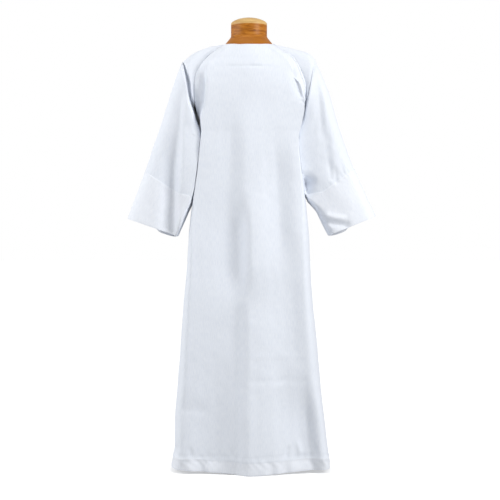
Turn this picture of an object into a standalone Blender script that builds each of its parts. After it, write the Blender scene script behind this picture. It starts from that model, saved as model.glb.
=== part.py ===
"""An alb robe worn by a limbless dress form with a turned wooden neck.

The robe's front faces -Y, the wearer's left is +X, and the floor is z = 0. The robe is a front, a back,
two raglan sleeves with deep cuffs, and a hem, each a thin wall of cloth. Every cloth piece is a grid of
points worked out from the tables below: rows across a panel, or rings round a sleeve. The wall is laid on
the inner side of that grid, and neighbours share their seam's points, held apart by a small gap.
"""

import bmesh
import bpy
import numpy as np

COLLECTION = "alb_robe_on_dress_form"

# Driving dimensions, in metres.
SEAM_GAP = 0.0003  # between two pieces that are sewn or stand on each other
PANEL_WALL = 0.002
BAND_WALL = 0.003  # cuffs and hem are double cloth
PLACKET_WALL = 0.0012
UNDERARM = 1.107  # height where the raglan seams and the side seam meet
HEM_SEAM = 0.045
HEM_EDGE = 0.005
NECK_LOOP = 0.088  # radius of the neckline
FRONT_CORNER = 70.0  # degrees round the neck from the middle of the front to the front seam
BACK_CORNER = 125.0  # and to the back seam
SKIRT_ROWS = 18
HEM_ROWS = 2
FLAT_CELLS = 18  # cells across the flat of a panel
CORNER_CELLS = 4  # cells round each corner of a panel
NECK_CELLS = 3  # cells along the neckline of one sleeve
PLACKET_ROWS = 6
RING_CROWDING = 0.14  # radians by which a sleeve's points shift towards its outer side
CROWDING_FADE = 0.55  # radians over which that shift dies away at the outermost and innermost points
SEAM_HOLD = 0.8  # share of a panel's corner that the folds fade over, to leave the seam where it is
SEAM_EASE = 0.25  # share of a seam edge's own direction that the wall takes next to that edge
SIDE_HOLD = 0.6  # sine of the angle over which they fade at a sleeve's outer and inner side
UNDERARM_HOLD = 1.3  # the same for the valleys above the underarm, as a step in cosine
CAP_ROUNDING = 1.5  # power of the cosine that spreads the rise over the shoulder
SHARP_EDGE = 50.0  # degrees between two faces that are shaded as an edge

# The panels. Each row is one height. Widths are measured from the middle, right and left being the
# wearer's, and depths from the side seam's plane towards the front of a front or the back of a back.
# seam: the raglan or side seam. edge: where the panel's flat ends. crown: how much nearer the middle is
# than the flat's ends. bulge: 0 for a straight run from edge to seam, 1 for a full round corner.
# dip: how far the middle of the row hangs below its ends.
PANEL_COLUMNS = ("height", "seam_right", "seam_left", "seam_depth", "edge_right", "edge_left",
                 "middle", "crown", "bulge", "dip")
FRONT_ROWS = (
    (1.408, 0.082, 0.083, 0.030, 0.050, 0.050, 0.088, 0.0156, 0.60, 0.005),
    (1.389, 0.109, 0.111, 0.038, 0.078, 0.080, 0.098, 0.0180, 0.55, 0.004),
    (1.364, 0.138, 0.143, 0.047, 0.104, 0.108, 0.108, 0.018, 0.50, 0.003),
    (1.332, 0.162, 0.163, 0.066, 0.134, 0.136, 0.116, 0.014, 0.30, 0.0),
    (1.298, 0.177, 0.176, 0.076, 0.140, 0.143, 0.121, 0.009, 0.15, 0.0),
    (1.262, 0.181, 0.186, 0.081, 0.144, 0.147, 0.124, 0.006, 0.12, 0.0),
    (1.225, 0.179, 0.187, 0.080, 0.147, 0.151, 0.125, 0.005, 0.15, 0.0),
    (1.188, 0.174, 0.179, 0.070, 0.150, 0.155, 0.126, 0.005, 0.25, 0.0),
    (1.155, 0.168, 0.172, 0.052, 0.152, 0.156, 0.127, 0.006, 0.40, 0.0),
    (1.130, 0.164, 0.167, 0.032, 0.151, 0.154, 0.128, 0.007, 0.60, 0.0),
    (1.114, 0.161, 0.165, 0.014, 0.149, 0.153, 0.128, 0.008, 0.80, 0.0),
    (1.107, 0.160, 0.163, 0.000, 0.147, 0.151, 0.129, 0.009, 0.95, 0.0),
    (1.060, 0.162, 0.163, 0.000, 0.134, 0.137, 0.130, 0.013, 1.00, 0.0),
    (1.000, 0.168, 0.169, 0.000, 0.128, 0.131, 0.132, 0.017, 1.00, 0.0),
    (0.940, 0.175, 0.176, 0.000, 0.126, 0.128, 0.134, 0.020, 1.00, 0.0),
    (0.888, 0.184, 0.183, 0.000, 0.126, 0.126, 0.136, 0.022, 1.00, 0.0),
    (0.775, 0.199, 0.197, 0.000, 0.128, 0.127, 0.141, 0.025, 0.98, 0.0),
    (0.668, 0.206, 0.203, 0.000, 0.130, 0.128, 0.146, 0.028, 0.95, 0.0),
    (0.561, 0.216, 0.211, 0.000, 0.134, 0.132, 0.150, 0.032, 0.85, 0.0),
    (0.428, 0.226, 0.225, 0.000, 0.138, 0.137, 0.155, 0.037, 0.75, 0.0),
    (0.295, 0.236, 0.236, 0.000, 0.143, 0.143, 0.160, 0.042, 0.65, 0.0),
    (0.162, 0.246, 0.250, 0.000, 0.148, 0.150, 0.165, 0.046, 0.55, 0.0),
    (0.082, 0.247, 0.260, 0.000, 0.150, 0.155, 0.168, 0.048, 0.50, 0.0),
    (0.045, 0.251, 0.264, 0.000, 0.152, 0.157, 0.170, 0.049, 0.45, 0.0),
    (0.005, 0.258, 0.268, 0.000, 0.155, 0.160, 0.172, 0.050, 0.45, 0.0),
)
BACK_ROWS = (
    (1.414, 0.072, 0.072, 0.050, 0.044, 0.044, 0.088, 0.0118, 0.60, -0.006),
    (1.398, 0.103, 0.104, 0.056, 0.072, 0.073, 0.096, 0.014, 0.55, -0.004),
    (1.378, 0.128, 0.130, 0.062, 0.095, 0.096, 0.103, 0.014, 0.50, -0.002),
    (1.344, 0.154, 0.156, 0.073, 0.120, 0.122, 0.110, 0.012, 0.40, 0.0),
    (1.308, 0.170, 0.172, 0.081, 0.130, 0.132, 0.114, 0.010, 0.35, 0.0),
    (1.270, 0.178, 0.181, 0.085, 0.134, 0.136, 0.117, 0.009, 0.35, 0.0),
    (1.231, 0.179, 0.184, 0.082, 0.137, 0.139, 0.118, 0.009, 0.40, 0.0),
    (1.192, 0.174, 0.180, 0.070, 0.139, 0.141, 0.119, 0.009, 0.50, 0.0),
    (1.157, 0.168, 0.174, 0.051, 0.140, 0.142, 0.120, 0.010, 0.60, 0.0),
    (1.131, 0.164, 0.169, 0.031, 0.140, 0.142, 0.120, 0.010, 0.75, 0.0),
    (1.114, 0.161, 0.165, 0.013, 0.139, 0.141, 0.121, 0.011, 0.90, 0.0),
    (1.107, 0.160, 0.163, 0.000, 0.138, 0.140, 0.121, 0.011, 0.95, 0.0),
    (1.060, 0.162, 0.163, 0.000, 0.130, 0.132, 0.122, 0.013, 1.00, 0.0),
    (1.000, 0.168, 0.169, 0.000, 0.126, 0.128, 0.124, 0.015, 1.00, 0.0),
    (0.940, 0.175, 0.176, 0.000, 0.126, 0.127, 0.127, 0.017, 1.00, 0.0),
    (0.888, 0.184, 0.183, 0.000, 0.130, 0.130, 0.131, 0.018, 1.00, 0.0),
    (0.775, 0.199, 0.197, 0.000, 0.138, 0.137, 0.140, 0.020, 1.00, 0.0),
    (0.668, 0.206, 0.203, 0.000, 0.144, 0.142, 0.148, 0.021, 1.00, 0.0),
    (0.561, 0.216, 0.211, 0.000, 0.150, 0.147, 0.156, 0.022, 1.00, 0.0),
    (0.428, 0.226, 0.225, 0.000, 0.157, 0.156, 0.166, 0.023, 1.00, 0.0),
    (0.295, 0.236, 0.236, 0.000, 0.164, 0.164, 0.176, 0.024, 1.00, 0.0),
    (0.162, 0.246, 0.250, 0.000, 0.171, 0.174, 0.187, 0.025, 1.00, 0.0),
    (0.082, 0.247, 0.260, 0.000, 0.173, 0.181, 0.193, 0.026, 1.00, 0.0),
    (0.045, 0.251, 0.264, 0.000, 0.176, 0.184, 0.196, 0.026, 1.00, 0.0),
    (0.005, 0.258, 0.268, 0.000, 0.181, 0.187, 0.199, 0.026, 1.00, 0.0),
)
SHOULDER_ROWS = 11  # cells of a panel above the underarm

# The sleeves. Each row is one ring, from the fold over the armhole to the cuff's edge: its outermost and
# innermost points as distance from the middle and height, half its depth, and how far it stands forward.
RING_COLUMNS = ("outer", "outer_height", "inner", "inner_height", "half_depth", "forward")
RIGHT_RINGS = (
    (0.222, 1.352, 0.167, 1.094, 0.078, 0.000),
    (0.243, 1.300, 0.168, 1.075, 0.079, 0.001),
    (0.258, 1.255, 0.170, 1.055, 0.077, 0.002),
    (0.277, 1.192, 0.1725, 1.025, 0.074, 0.004),
    (0.298, 1.127, 0.175, 0.990, 0.070, 0.006),
    (0.321, 1.061, 0.180, 0.940, 0.067, 0.008),
    (0.345, 0.988, 0.190, 0.887, 0.064, 0.010),
    (0.362, 0.938, 0.203, 0.851, 0.063, 0.012),
    (0.381, 0.889, 0.219, 0.814, 0.062, 0.014),
    (0.402, 0.831, 0.237, 0.774, 0.062, 0.016),
)
LEFT_RINGS = (
    (0.220, 1.361, 0.168, 1.092, 0.078, 0.000),
    (0.246, 1.300, 0.169, 1.072, 0.079, 0.001),
    (0.263, 1.255, 0.172, 1.050, 0.077, 0.002),
    (0.281, 1.194, 0.1765, 1.022, 0.074, 0.004),
    (0.301, 1.127, 0.183, 0.985, 0.071, 0.006),
    (0.323, 1.061, 0.189, 0.935, 0.069, 0.008),
    (0.348, 0.996, 0.206, 0.893, 0.067, 0.010),
    (0.370, 0.944, 0.226, 0.853, 0.066, 0.012),
    (0.395, 0.891, 0.244, 0.815, 0.065, 0.014),
    (0.419, 0.839, 0.264, 0.776, 0.064, 0.016),
)
CUFF_RING = 6  # the ring where the cuff is sewn on

# The rings over the shoulder, between the raglan seam and the fold over the armhole: how far along each
# one lies, how far it rises over the shoulder, and how deep the valley in front of the fold is there.
CAP_COLUMNS = ("along", "lift", "valley")
RIGHT_CAP = (
    (0.33, 0.0120, 0.000),
    (0.62, 0.0145, 0.003),
    (0.74, 0.0130, 0.021),
    (0.88, 0.0060, 0.022),
)
LEFT_CAP = (
    (0.33, 0.0070, 0.000),
    (0.62, 0.0115, 0.002),
    (0.76, 0.0135, 0.012),
    (0.89, 0.0100, 0.012),
)
BACK_VALLEY = 0.45  # the back's valley, as a share of the front's

# Soft ridges (depth above 0) and troughs (below 0): each is a bell across a sloping line that runs from
# (x_top, top) to (x_bottom, bottom) as seen from the front.
FOLD_COLUMNS = ("top", "x_top", "bottom", "x_bottom", "half_width", "depth")
FRONT_FOLDS = (
    (1.270, -0.040, -0.30, -0.043, 0.030, -0.009),
    (1.050, 0.035, -0.30, 0.050, 0.045, 0.005),
    (1.020, 0.105, 0.45, 0.135, 0.030, -0.009),
    (0.600, 0.145, -0.30, 0.235, 0.034, -0.010),
    (0.900, -0.105, -0.30, -0.125, 0.038, 0.006),
    (0.560, 0.105, -0.30, 0.130, 0.032, 0.005),
)
BACK_FOLDS = (
    (1.300, 0.030, -0.30, 0.042, 0.028, -0.013),
    (1.270, -0.078, -0.30, -0.108, 0.032, -0.016),
    (1.200, 0.118, -0.30, 0.152, 0.032, -0.015),
    (1.200, -0.022, -0.30, -0.034, 0.028, 0.009),
    (1.180, 0.076, -0.30, 0.098, 0.026, 0.008),
    (0.750, -0.150, -0.30, -0.185, 0.034, 0.009),
)
RIGHT_FOLDS = (
    (1.240, -0.228, 0.60, -0.283, 0.022, -0.013),
    (1.150, -0.190, 0.86, -0.205, 0.016, 0.004),
)
LEFT_FOLDS = (
    (1.230, 0.246, 0.80, 0.285, 0.024, -0.007),
    (1.000, 0.196, 0.84, 0.200, 0.014, -0.008),
)
RIGHT_BACK_FOLDS = (
    (1.210, -0.235, 0.60, -0.300, 0.024, -0.011),
    (1.050, -0.215, 0.70, -0.245, 0.018, 0.004),
)
LEFT_BACK_FOLDS = (
    (1.200, 0.240, 0.60, 0.310, 0.024, -0.012),
    (1.080, 0.215, 0.72, 0.250, 0.018, -0.005),
)
FOLD_FADE = 0.10  # length over which a fold grows in and dies away

# Which way the wall is laid at a raglan seam: towards the middle, to the back of a front, and up.
SEAM_COLUMNS = ("height", "inward", "through", "up")
SEAM_LAY = (
    (1.107, 0.20, 0.00, 0.95),
    (1.130, 0.20, 0.45, 0.85),
    (1.170, 0.35, 0.80, 0.35),
    (1.260, 0.45, 0.85, 0.00),
    (1.340, 0.30, 0.80, -0.40),
    (1.414, 0.00, 0.55, -0.83),
)

# The dress form: half width, half depth and forward shift of each section.
TORSO_COLUMNS = ("height", "half_width", "half_depth", "forward")
TORSO_SECTIONS = (
    (1.3940, 0.078, 0.070, 0.000),
    (1.3900, 0.104, 0.073, 0.000),
    (1.3820, 0.128, 0.066, -0.001),
    (1.3700, 0.153, 0.060, -0.003),
    (1.3540, 0.175, 0.060, -0.003),
    (1.3340, 0.188, 0.065, -0.002),
    (1.3080, 0.194, 0.076, 0.000),
    (1.2750, 0.184, 0.086, 0.002),
    (1.2300, 0.167, 0.097, 0.004),
    (1.1700, 0.152, 0.104, 0.006),
    (1.1000, 0.147, 0.105, 0.007),
    (1.0300, 0.140, 0.098, 0.006),
    (0.9700, 0.133, 0.092, 0.005),
    (0.9000, 0.140, 0.096, 0.004),
    (0.8200, 0.156, 0.107, 0.003),
    (0.7600, 0.160, 0.110, 0.003),
    (0.7250, 0.150, 0.103, 0.003),
    (0.7060, 0.124, 0.084, 0.003),
    (0.7000, 0.090, 0.060, 0.003),
)
TORSO_SIDES = 32

NECK_SIDES = 40
NECK_PROFILE = (  # radius and height down the outside of the neck block
    (0.0, 1.5000),
    (0.0180, 1.4990),
    (0.0350, 1.4955),
    (0.0490, 1.4900),
    (0.0570, 1.4850),
    (0.0600, 1.4800),
    (0.0600, 1.4400),
    (0.0612, 1.4350),
    (0.0690, 1.4240),
    (0.0790, 1.4110),
    (0.0830, 1.4020),
    (0.0780, 1.3960),
    (0.0700, 1.3943),
    (0.0, 1.3943),
)
POLE_RADIUS = 0.0125
POLE_SIDES = 24
BASE_SIDES = 64
BASE_PROFILE = (
    (0.0, 0.0300),
    (0.0240, 0.0300),
    (0.0265, 0.0275),
    (0.0280, 0.0160),
    (0.0340, 0.0120),
    (0.1420, 0.0110),
    (0.1450, 0.0080),
    (0.1450, 0.0000),
    (0.0, 0.0000),
)

CLOTH = ("polycotton_plain_weave", (0.86, 0.89, 0.94, 1.0), 0.85, 0.0)
DOUBLE_CLOTH = ("polycotton_two_layers", (0.91, 0.93, 0.97, 1.0), 0.85, 0.0)
FORM_COVER = ("stretched_linen_cover", (0.62, 0.56, 0.47, 1.0), 0.9, 0.0)
WOOD = ("varnished_beech", (0.45, 0.22, 0.07, 1.0), 0.35, 0.0)
STEEL = ("painted_steel", (0.05, 0.05, 0.055, 1.0), 0.4, 0.0)


def smooth(at, knots, values):
    """The value at each place on a cubic through (knots, values) that never overshoots its knots."""
    rises = np.diff(values) / np.diff(knots)
    slopes = np.zeros(len(knots))
    slopes[0] = rises[0]
    slopes[-1] = rises[-1]
    before, after = rises[:-1], rises[1:]
    turning = before * after <= 0
    total = np.where(turning, 1.0, before + after)
    slopes[1:-1] = np.where(turning, 0.0, 2 * before * after / total)
    cell = np.clip(np.searchsorted(knots, at, side="right") - 1, 0, len(knots) - 2)
    width = knots[cell + 1] - knots[cell]
    t = (at - knots[cell]) / width
    return (
        values[cell] * (1 + 2 * t) * (1 - t) ** 2
        + slopes[cell] * width * t * (1 - t) ** 2
        + values[cell + 1] * t**2 * (3 - 2 * t)
        - slopes[cell + 1] * width * t**2 * (1 - t)
    )


def read(rows, columns, at):
    """Every column but the first, read from a table at these values of its first column."""
    table = np.array(rows)
    if table[0, 0] > table[-1, 0]:
        table = table[::-1]
    return {
        name: smooth(at, table[:, 0], table[:, i]) for i, name in enumerate(columns) if i
    }


def smoothstep(t):
    t = np.clip(t, 0.0, 1.0)
    return t * t * (3 - 2 * t)


def fold_height(folds, x, z):
    """How far the folds lift the cloth at each point, seen from the front."""
    lift = np.zeros_like(x)
    for top, x_top, bottom, x_bottom, half_width, depth in folds:
        line = x_top + (x_bottom - x_top) * (top - z) / (top - bottom)
        fade = smoothstep((top - z) / FOLD_FADE) * smoothstep((z - bottom) / FOLD_FADE)
        lift += depth * fade * np.exp(-(((x - line) / half_width) ** 2))
    return lift


def across_cells():
    """Places across a panel: -2 to -1 is the right corner, -1 to 1 the flat, 1 to 2 the left corner."""
    corner = np.linspace(0, 1, CORNER_CELLS + 1)
    flat = np.linspace(-1, 1, FLAT_CELLS + 1)
    return np.concatenate([-1 - corner[:0:-1], flat, 1 + corner[1:]])


def panel(rows, folds, facing, heights, across):
    """A panel's points: a flat with a low crown, and a corner on each side that is a quadratic Bezier
    from the flat's edge to the seam. facing is -1 for a front and 1 for a back."""
    row = {name: value[:, None] for name, value in read(rows, PANEL_COLUMNS, heights).items()}
    u = across[None, :]
    flat = np.clip(u, -1, 1)
    edge = np.where(u < 0, row["edge_right"], row["edge_left"])
    seam = np.where(u < 0, row["seam_right"], row["seam_left"])
    edge_depth = row["middle"] - row["crown"]
    t = np.clip(np.abs(u) - 1, 0, 1)
    knee_x = (edge + seam) / 2 + (seam - edge) / 2 * row["bulge"]
    knee_depth = (edge_depth + row["seam_depth"]) / 2 * (1 - row["bulge"]) + edge_depth * row["bulge"]
    in_flat = np.abs(u) <= 1
    x = np.where(
        in_flat,
        np.abs(flat) * edge,
        (1 - t) ** 2 * edge + 2 * t * (1 - t) * knee_x + t**2 * seam,
    ) * np.sign(u)
    depth = np.where(
        in_flat,
        row["middle"] - row["crown"] * flat**2,
        (1 - t) ** 2 * edge_depth + 2 * t * (1 - t) * knee_depth + t**2 * row["seam_depth"],
    )
    z = heights[:, None] - row["dip"] * (1 - np.minimum(np.abs(x) / seam, 1) ** 2)
    loose = smoothstep((2 - np.abs(u)) / SEAM_HOLD)
    depth = depth + loose * fold_height(folds, x, z)
    return np.stack([x, facing * depth, z], axis=-1)


def table_heights(rows):
    """The heights of a panel's rows from the neck to the underarm, top first."""
    return np.array([row[0] for row in rows[: SHOULDER_ROWS + 1]])


def skirt_heights():
    return np.linspace(UNDERARM, HEM_SEAM, SKIRT_ROWS + 1)[1:]


def raglan_loop(side):
    """The closed seam round one sleeve's top: from the underarm up the front, round the neck and down
    the back. side is -1 for the wearer's right."""
    ends = np.array([2.0 * side])
    front = panel(FRONT_ROWS, (), -1, table_heights(FRONT_ROWS), ends)[::-1, 0]
    back = panel(BACK_ROWS, (), 1, table_heights(BACK_ROWS), ends)[:, 0]
    angle = np.radians(np.linspace(FRONT_CORNER, BACK_CORNER, NECK_CELLS + 1)[1:-1])
    rise = np.linspace(front[-1, 2], back[0, 2], NECK_CELLS + 1)[1:-1]
    neck = np.stack([side * NECK_LOOP * np.sin(angle), -NECK_LOOP * np.cos(angle), rise], axis=-1)
    return np.concatenate([front, neck, back[:-1]])


def ring_angles():
    """An angle for each point of a sleeve's ring: 180 degrees inside, 90 in front, 0 outside and -90
    behind. They crowd a little towards the outside, to keep level with the raglan seam's points."""
    points = 2 * SHOULDER_ROWS + NECK_CELLS
    even = np.pi * (1 - 2 * np.arange(points) / points)
    size = np.abs(even)
    crowding = RING_CROWDING * smoothstep(size / CROWDING_FADE)
    crowding *= smoothstep((np.pi - size) / CROWDING_FADE)
    return np.sign(even) * (size - crowding)


def sleeve_rings(rings, front_folds, back_folds, side, places, angle):
    """Oval rings of a sleeve. Each leans so that it passes through its outer and its inner point."""
    numbered = [(float(i),) + row for i, row in enumerate(rings)]
    row = {
        name: value[:, None]
        for name, value in read(numbered, ("place",) + RING_COLUMNS, places).items()
    }
    cos, sin = np.cos(angle)[None, :], np.sin(angle)[None, :]
    x = (row["outer"] + row["inner"]) / 2 + (row["outer"] - row["inner"]) / 2 * cos
    z = (row["outer_height"] + row["inner_height"]) / 2
    z = z + (row["outer_height"] - row["inner_height"]) / 2 * cos
    lift_front = fold_height(front_folds, side * x, z) * smoothstep(sin / SIDE_HOLD)
    lift_back = fold_height(back_folds, side * x, z) * smoothstep(-sin / SIDE_HOLD)
    y = -row["forward"] - (row["half_depth"] * sin) - lift_front + lift_back
    return np.stack([side * x, y, z], axis=-1)


def cap_rings(cap, loop, fold, angle):
    """The rings over the shoulder, between the raglan seam's loop and the fold over the armhole."""
    along, lift, valley = (np.array(cap)[:, i, None] for i in range(len(CAP_COLUMNS)))
    points = (1 - along[..., None]) * loop[None] + along[..., None] * fold[None]
    sin, cos = np.sin(angle)[None, :], np.cos(angle)[None, :]
    deep = sin**2 * smoothstep((cos + 1) / UNDERARM_HOLD)
    points[..., 2] += lift * np.clip(cos, 0, 1) ** CAP_ROUNDING
    points[..., 1] += valley * np.where(sin > 0, deep, -BACK_VALLEY * deep)
    return points


def sleeve(cap, rings, front_folds, back_folds, side):
    """All of a sleeve's rings, from the raglan seam to the cuff's edge."""
    angle = ring_angles()
    places = np.arange(len(rings), dtype=float)
    tube = sleeve_rings(rings, front_folds, back_folds, side, places, angle)
    loop = raglan_loop(side)
    return np.concatenate([loop[None], cap_rings(cap, loop, tube[0], angle), tube])


def unit(vectors):
    return vectors / np.linalg.norm(vectors, axis=-1, keepdims=True)


def grid_normals(points, closed, outward):
    """A normal at each point of a grid. outward gives the wanted side: a point that is well inside."""
    down = np.gradient(points, axis=0)
    if closed:
        along = np.roll(points, -1, axis=1) - np.roll(points, 1, axis=1)
    else:
        along = np.gradient(points, axis=1)
    normals = unit(np.cross(down, along))
    away = ((points - outward) * normals).sum(axis=-1).mean()
    return normals * np.sign(away)


def seam_lay(points, side, facing):
    """The way the wall is laid along a raglan seam, and the way across it towards the panel."""
    lay = read(SEAM_LAY, SEAM_COLUMNS, np.clip(points[:, 2], UNDERARM, SEAM_LAY[-1][0]))
    laid = unit(np.stack([-side * lay["inward"], -facing * lay["through"], lay["up"]], axis=-1))
    across = unit(np.cross(np.gradient(points, axis=0), laid))
    across *= -side * np.sign(across[:, :1])
    return laid, across


def cell_faces(rows, columns, closed):
    """Two triangles for each cell of a grid, as rows of three point numbers."""
    last = columns if closed else columns - 1
    row, column = np.meshgrid(np.arange(rows - 1), np.arange(last), indexing="ij")
    a = row * columns + column
    b = row * columns + (column + 1) % columns
    c, d = b + columns, a + columns
    first = np.stack([a, b, c], axis=-1).reshape(-1, 3)
    second = np.stack([a, c, d], axis=-1).reshape(-1, 3)
    return np.concatenate([first, second])


def strip_faces(start, stop, count):
    """The faces of the wall's cut edge, between matching points of its outer and inner grids."""
    return [
        face
        for a, b in zip(start, stop)
        for face in ((a, a + count, b + count), (a, b + count, b))
    ]


def wall(name, outer, inner, material, closed):
    """A closed solid between two matching grids of points, with the cut edges closed between them."""
    rows, columns = outer.shape[:2]
    count = rows * columns
    number = np.arange(count).reshape(rows, columns)
    skin = cell_faces(rows, columns, closed)
    faces = [tuple(face) for face in skin.tolist()]
    faces += [tuple(face) for face in (skin[:, ::-1] + count).tolist()]
    for line in (number[0], number[-1]):
        ends = np.roll(line, -1) if closed else line[1:]
        faces += strip_faces(line.tolist(), ends.tolist(), count)
    if not closed:
        for line in (number[:, 0], number[:, -1]):
            faces += strip_faces(line[:-1].tolist(), line[1:].tolist(), count)
    points = np.concatenate([outer.reshape(-1, 3), inner.reshape(-1, 3)])
    mesh = bpy.data.meshes.new(name)
    mesh.from_pydata(points.tolist(), [], faces)
    return finish(name, mesh, material)


def finish(name, mesh, material):
    """Turns every face outwards, shades the mesh and puts it in the collection."""
    shape = bmesh.new()
    shape.from_mesh(mesh)
    bmesh.ops.recalc_face_normals(shape, faces=shape.faces)
    shape.to_mesh(mesh)
    shape.free()
    mesh.shade_smooth()
    mesh.set_sharp_from_angle(angle=np.radians(SHARP_EDGE))
    obj = bpy.data.objects.new(name, mesh)
    obj.data.materials.append(principled(*material))
    bpy.data.collections[COLLECTION].objects.link(obj)
    return obj


def principled(name, colour, roughness, metallic):
    """The material of this name, made once."""
    material = bpy.data.materials.get(name)
    if material is None:
        material = bpy.data.materials.new(name)
        material.use_nodes = True
        shader = material.node_tree.nodes["Principled BSDF"]
        shader.inputs["Base Color"].default_value = colour
        shader.inputs["Roughness"].default_value = roughness
        shader.inputs["Metallic"].default_value = metallic
    return material


def build_panels(part, rows, folds, facing):
    """The front or the back, and its hem band, cut from one grid so that they meet point to point."""
    across = across_cells()
    hem_heights = np.linspace(HEM_SEAM, HEM_EDGE, HEM_ROWS + 1)[1:]
    heights = np.concatenate([table_heights(rows), skirt_heights(), hem_heights])
    points = panel(rows, folds, facing, heights, across)
    middle = points * np.array([0.0, 0.0, 1.0])
    normals = grid_normals(points, False, middle)
    seam_rows = slice(0, SHOULDER_ROWS + 1)
    shift = np.zeros_like(points)
    for column, side in ((0, -1), (-1, 1)):
        laid, over = seam_lay(points[seam_rows, column], side, facing)
        normals[SHOULDER_ROWS:, column] = (side, 0.0, 0.0)
        normals[seam_rows, column] = -laid
        shift[seam_rows, column] += over * SEAM_GAP / 2
        shift[SHOULDER_ROWS:, column, 1] += facing * SEAM_GAP / 2
    for column, end in ((1, 0), (-2, -1)):
        normals[seam_rows, column] = unit(normals[seam_rows, column] + SEAM_EASE * normals[seam_rows, end])
    cut = SHOULDER_ROWS + SKIRT_ROWS
    placed = points + shift
    gap = np.array([0.0, 0.0, SEAM_GAP / 2])
    inner = placed - normals * PANEL_WALL
    upper, lining = placed[: cut + 1].copy(), inner[: cut + 1].copy()
    upper[-1] += gap
    lining[-1] = upper[-1] - normals[cut] * PANEL_WALL * np.array([1.0, 1.0, 0.0])
    wall(part, upper, lining, CLOTH, False)
    band = placed[cut:].copy()
    band[0] -= gap
    level = normals[cut:] * np.array([1.0, 1.0, 0.0])
    wall("hem_" + part, band, band - unit(level) * BAND_WALL, DOUBLE_CLOTH, False)
    return placed, normals


def build_placket(placed, normals):
    """The closed overlap along the wearer's left raglan seam, lying on the front's outermost cells."""
    base = placed[: PLACKET_ROWS + 1, -2:]
    out = normals[: PLACKET_ROWS + 1, -2:]
    under = base + out * SEAM_GAP
    wall("shoulder_placket", base + out * (SEAM_GAP + PLACKET_WALL), under, CLOTH, False)


def build_sleeve(wearer, cap, rings, front_folds, back_folds, side):
    """A sleeve and its cuff, cut from one set of rings."""
    points = sleeve(cap, rings, front_folds, back_folds, side)
    axis = points.mean(axis=1, keepdims=True)
    normals = grid_normals(points, True, axis)
    front = slice(0, SHOULDER_ROWS + 1)
    back = slice(SHOULDER_ROWS + NECK_CELLS, None)
    shift = np.zeros_like(points)
    for part, facing in ((front, -1), (back, 1)):
        laid, over = seam_lay(points[0, part], side, facing)
        normals[0, part] = -laid
        shift[0, part] = -over * SEAM_GAP / 2
    normals[1] = unit(normals[1] + SEAM_EASE * normals[0])
    placed = points + shift
    cut = len(cap) + 1 + CUFF_RING
    around = np.roll(placed[cut], -1, axis=0) - np.roll(placed[cut], 1, axis=0)
    step = unit(np.cross(around, normals[cut])) * SEAM_GAP / 2
    step *= np.sign(((placed[cut + 1] - placed[cut]) * step).sum(axis=-1, keepdims=True))
    upper = placed[: cut + 1].copy()
    upper[-1] -= step
    wall("sleeve_" + wearer, upper, upper - normals[: cut + 1] * PANEL_WALL, CLOTH, True)
    band = placed[cut:].copy()
    band[0] += step
    wall("cuff_" + wearer, band, band - normals[cut:] * BAND_WALL, DOUBLE_CLOTH, True)


def build_torso():
    """The form's torso: oval sections, closed top and bottom."""
    table = np.array(TORSO_SECTIONS)
    height, half_width, half_depth, forward = (table[:, i, None] for i in range(4))
    turn = 2 * np.pi * np.arange(TORSO_SIDES) / TORSO_SIDES
    x = half_width * np.sin(turn)
    y = -forward - half_depth * np.cos(turn)
    points = np.stack([x, y, np.broadcast_to(height, x.shape)], axis=-1)
    skin = cell_faces(len(table), TORSO_SIDES, True).tolist()
    top = list(range(TORSO_SIDES))
    bottom = [(len(table) - 1) * TORSO_SIDES + i for i in top]
    mesh = bpy.data.meshes.new("form_torso")
    mesh.from_pydata(points.reshape(-1, 3).tolist(), [], skin + [top, bottom])
    finish("form_torso", mesh, FORM_COVER)


def turned(name, profile, sides, material):
    """A profile of (radius, height) down the outside, turned about the pole's axis."""
    mesh = bpy.data.meshes.new(name)
    points = [(radius, 0.0, height) for radius, height in profile]
    mesh.from_pydata(points, [(i, i + 1) for i in range(len(points) - 1)], [])
    obj = bpy.data.objects.new(name, mesh)
    bpy.data.collections[COLLECTION].objects.link(obj)
    screw = obj.modifiers.new("turn", "SCREW")
    screw.steps = sides
    screw.render_steps = sides
    screw.use_merge_vertices = True
    screw.merge_threshold = 0.0001
    mesh.materials.append(principled(*material))
    return obj


def build_form():
    """The torso, the neck block on it, the pole and the base that it all stands on."""
    build_torso()
    turned("form_neck", NECK_PROFILE, NECK_SIDES, WOOD)
    turned("stand_base", BASE_PROFILE, BASE_SIDES, STEEL)
    foot = BASE_PROFILE[0][1] + SEAM_GAP
    top = TORSO_SECTIONS[-1][0] - SEAM_GAP
    bpy.ops.mesh.primitive_cylinder_add(
        vertices=POLE_SIDES, radius=POLE_RADIUS, depth=top - foot, location=(0, 0, (top + foot) / 2)
    )
    pole = bpy.context.object
    pole.name = "stand_pole"
    pole.data.shade_smooth()
    pole.data.set_sharp_from_angle(angle=np.radians(SHARP_EDGE))
    pole.data.materials.append(principled(*STEEL))
    for collection in list(pole.users_collection):
        collection.objects.unlink(pole)
    bpy.data.collections[COLLECTION].objects.link(pole)


def clear_scene():
    for obj in list(bpy.data.objects):
        bpy.data.objects.remove(obj)
    collection = bpy.data.collections.new(COLLECTION)
    bpy.context.scene.collection.children.link(collection)


def main():
    clear_scene()
    front, front_normals = build_panels("front", FRONT_ROWS, FRONT_FOLDS, -1)
    build_panels("back", BACK_ROWS, BACK_FOLDS, 1)
    build_placket(front, front_normals)
    build_sleeve("right", RIGHT_CAP, RIGHT_RINGS, RIGHT_FOLDS, RIGHT_BACK_FOLDS, -1)
    build_sleeve("left", LEFT_CAP, LEFT_RINGS, LEFT_FOLDS, LEFT_BACK_FOLDS, 1)
    build_form()


main()
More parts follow.
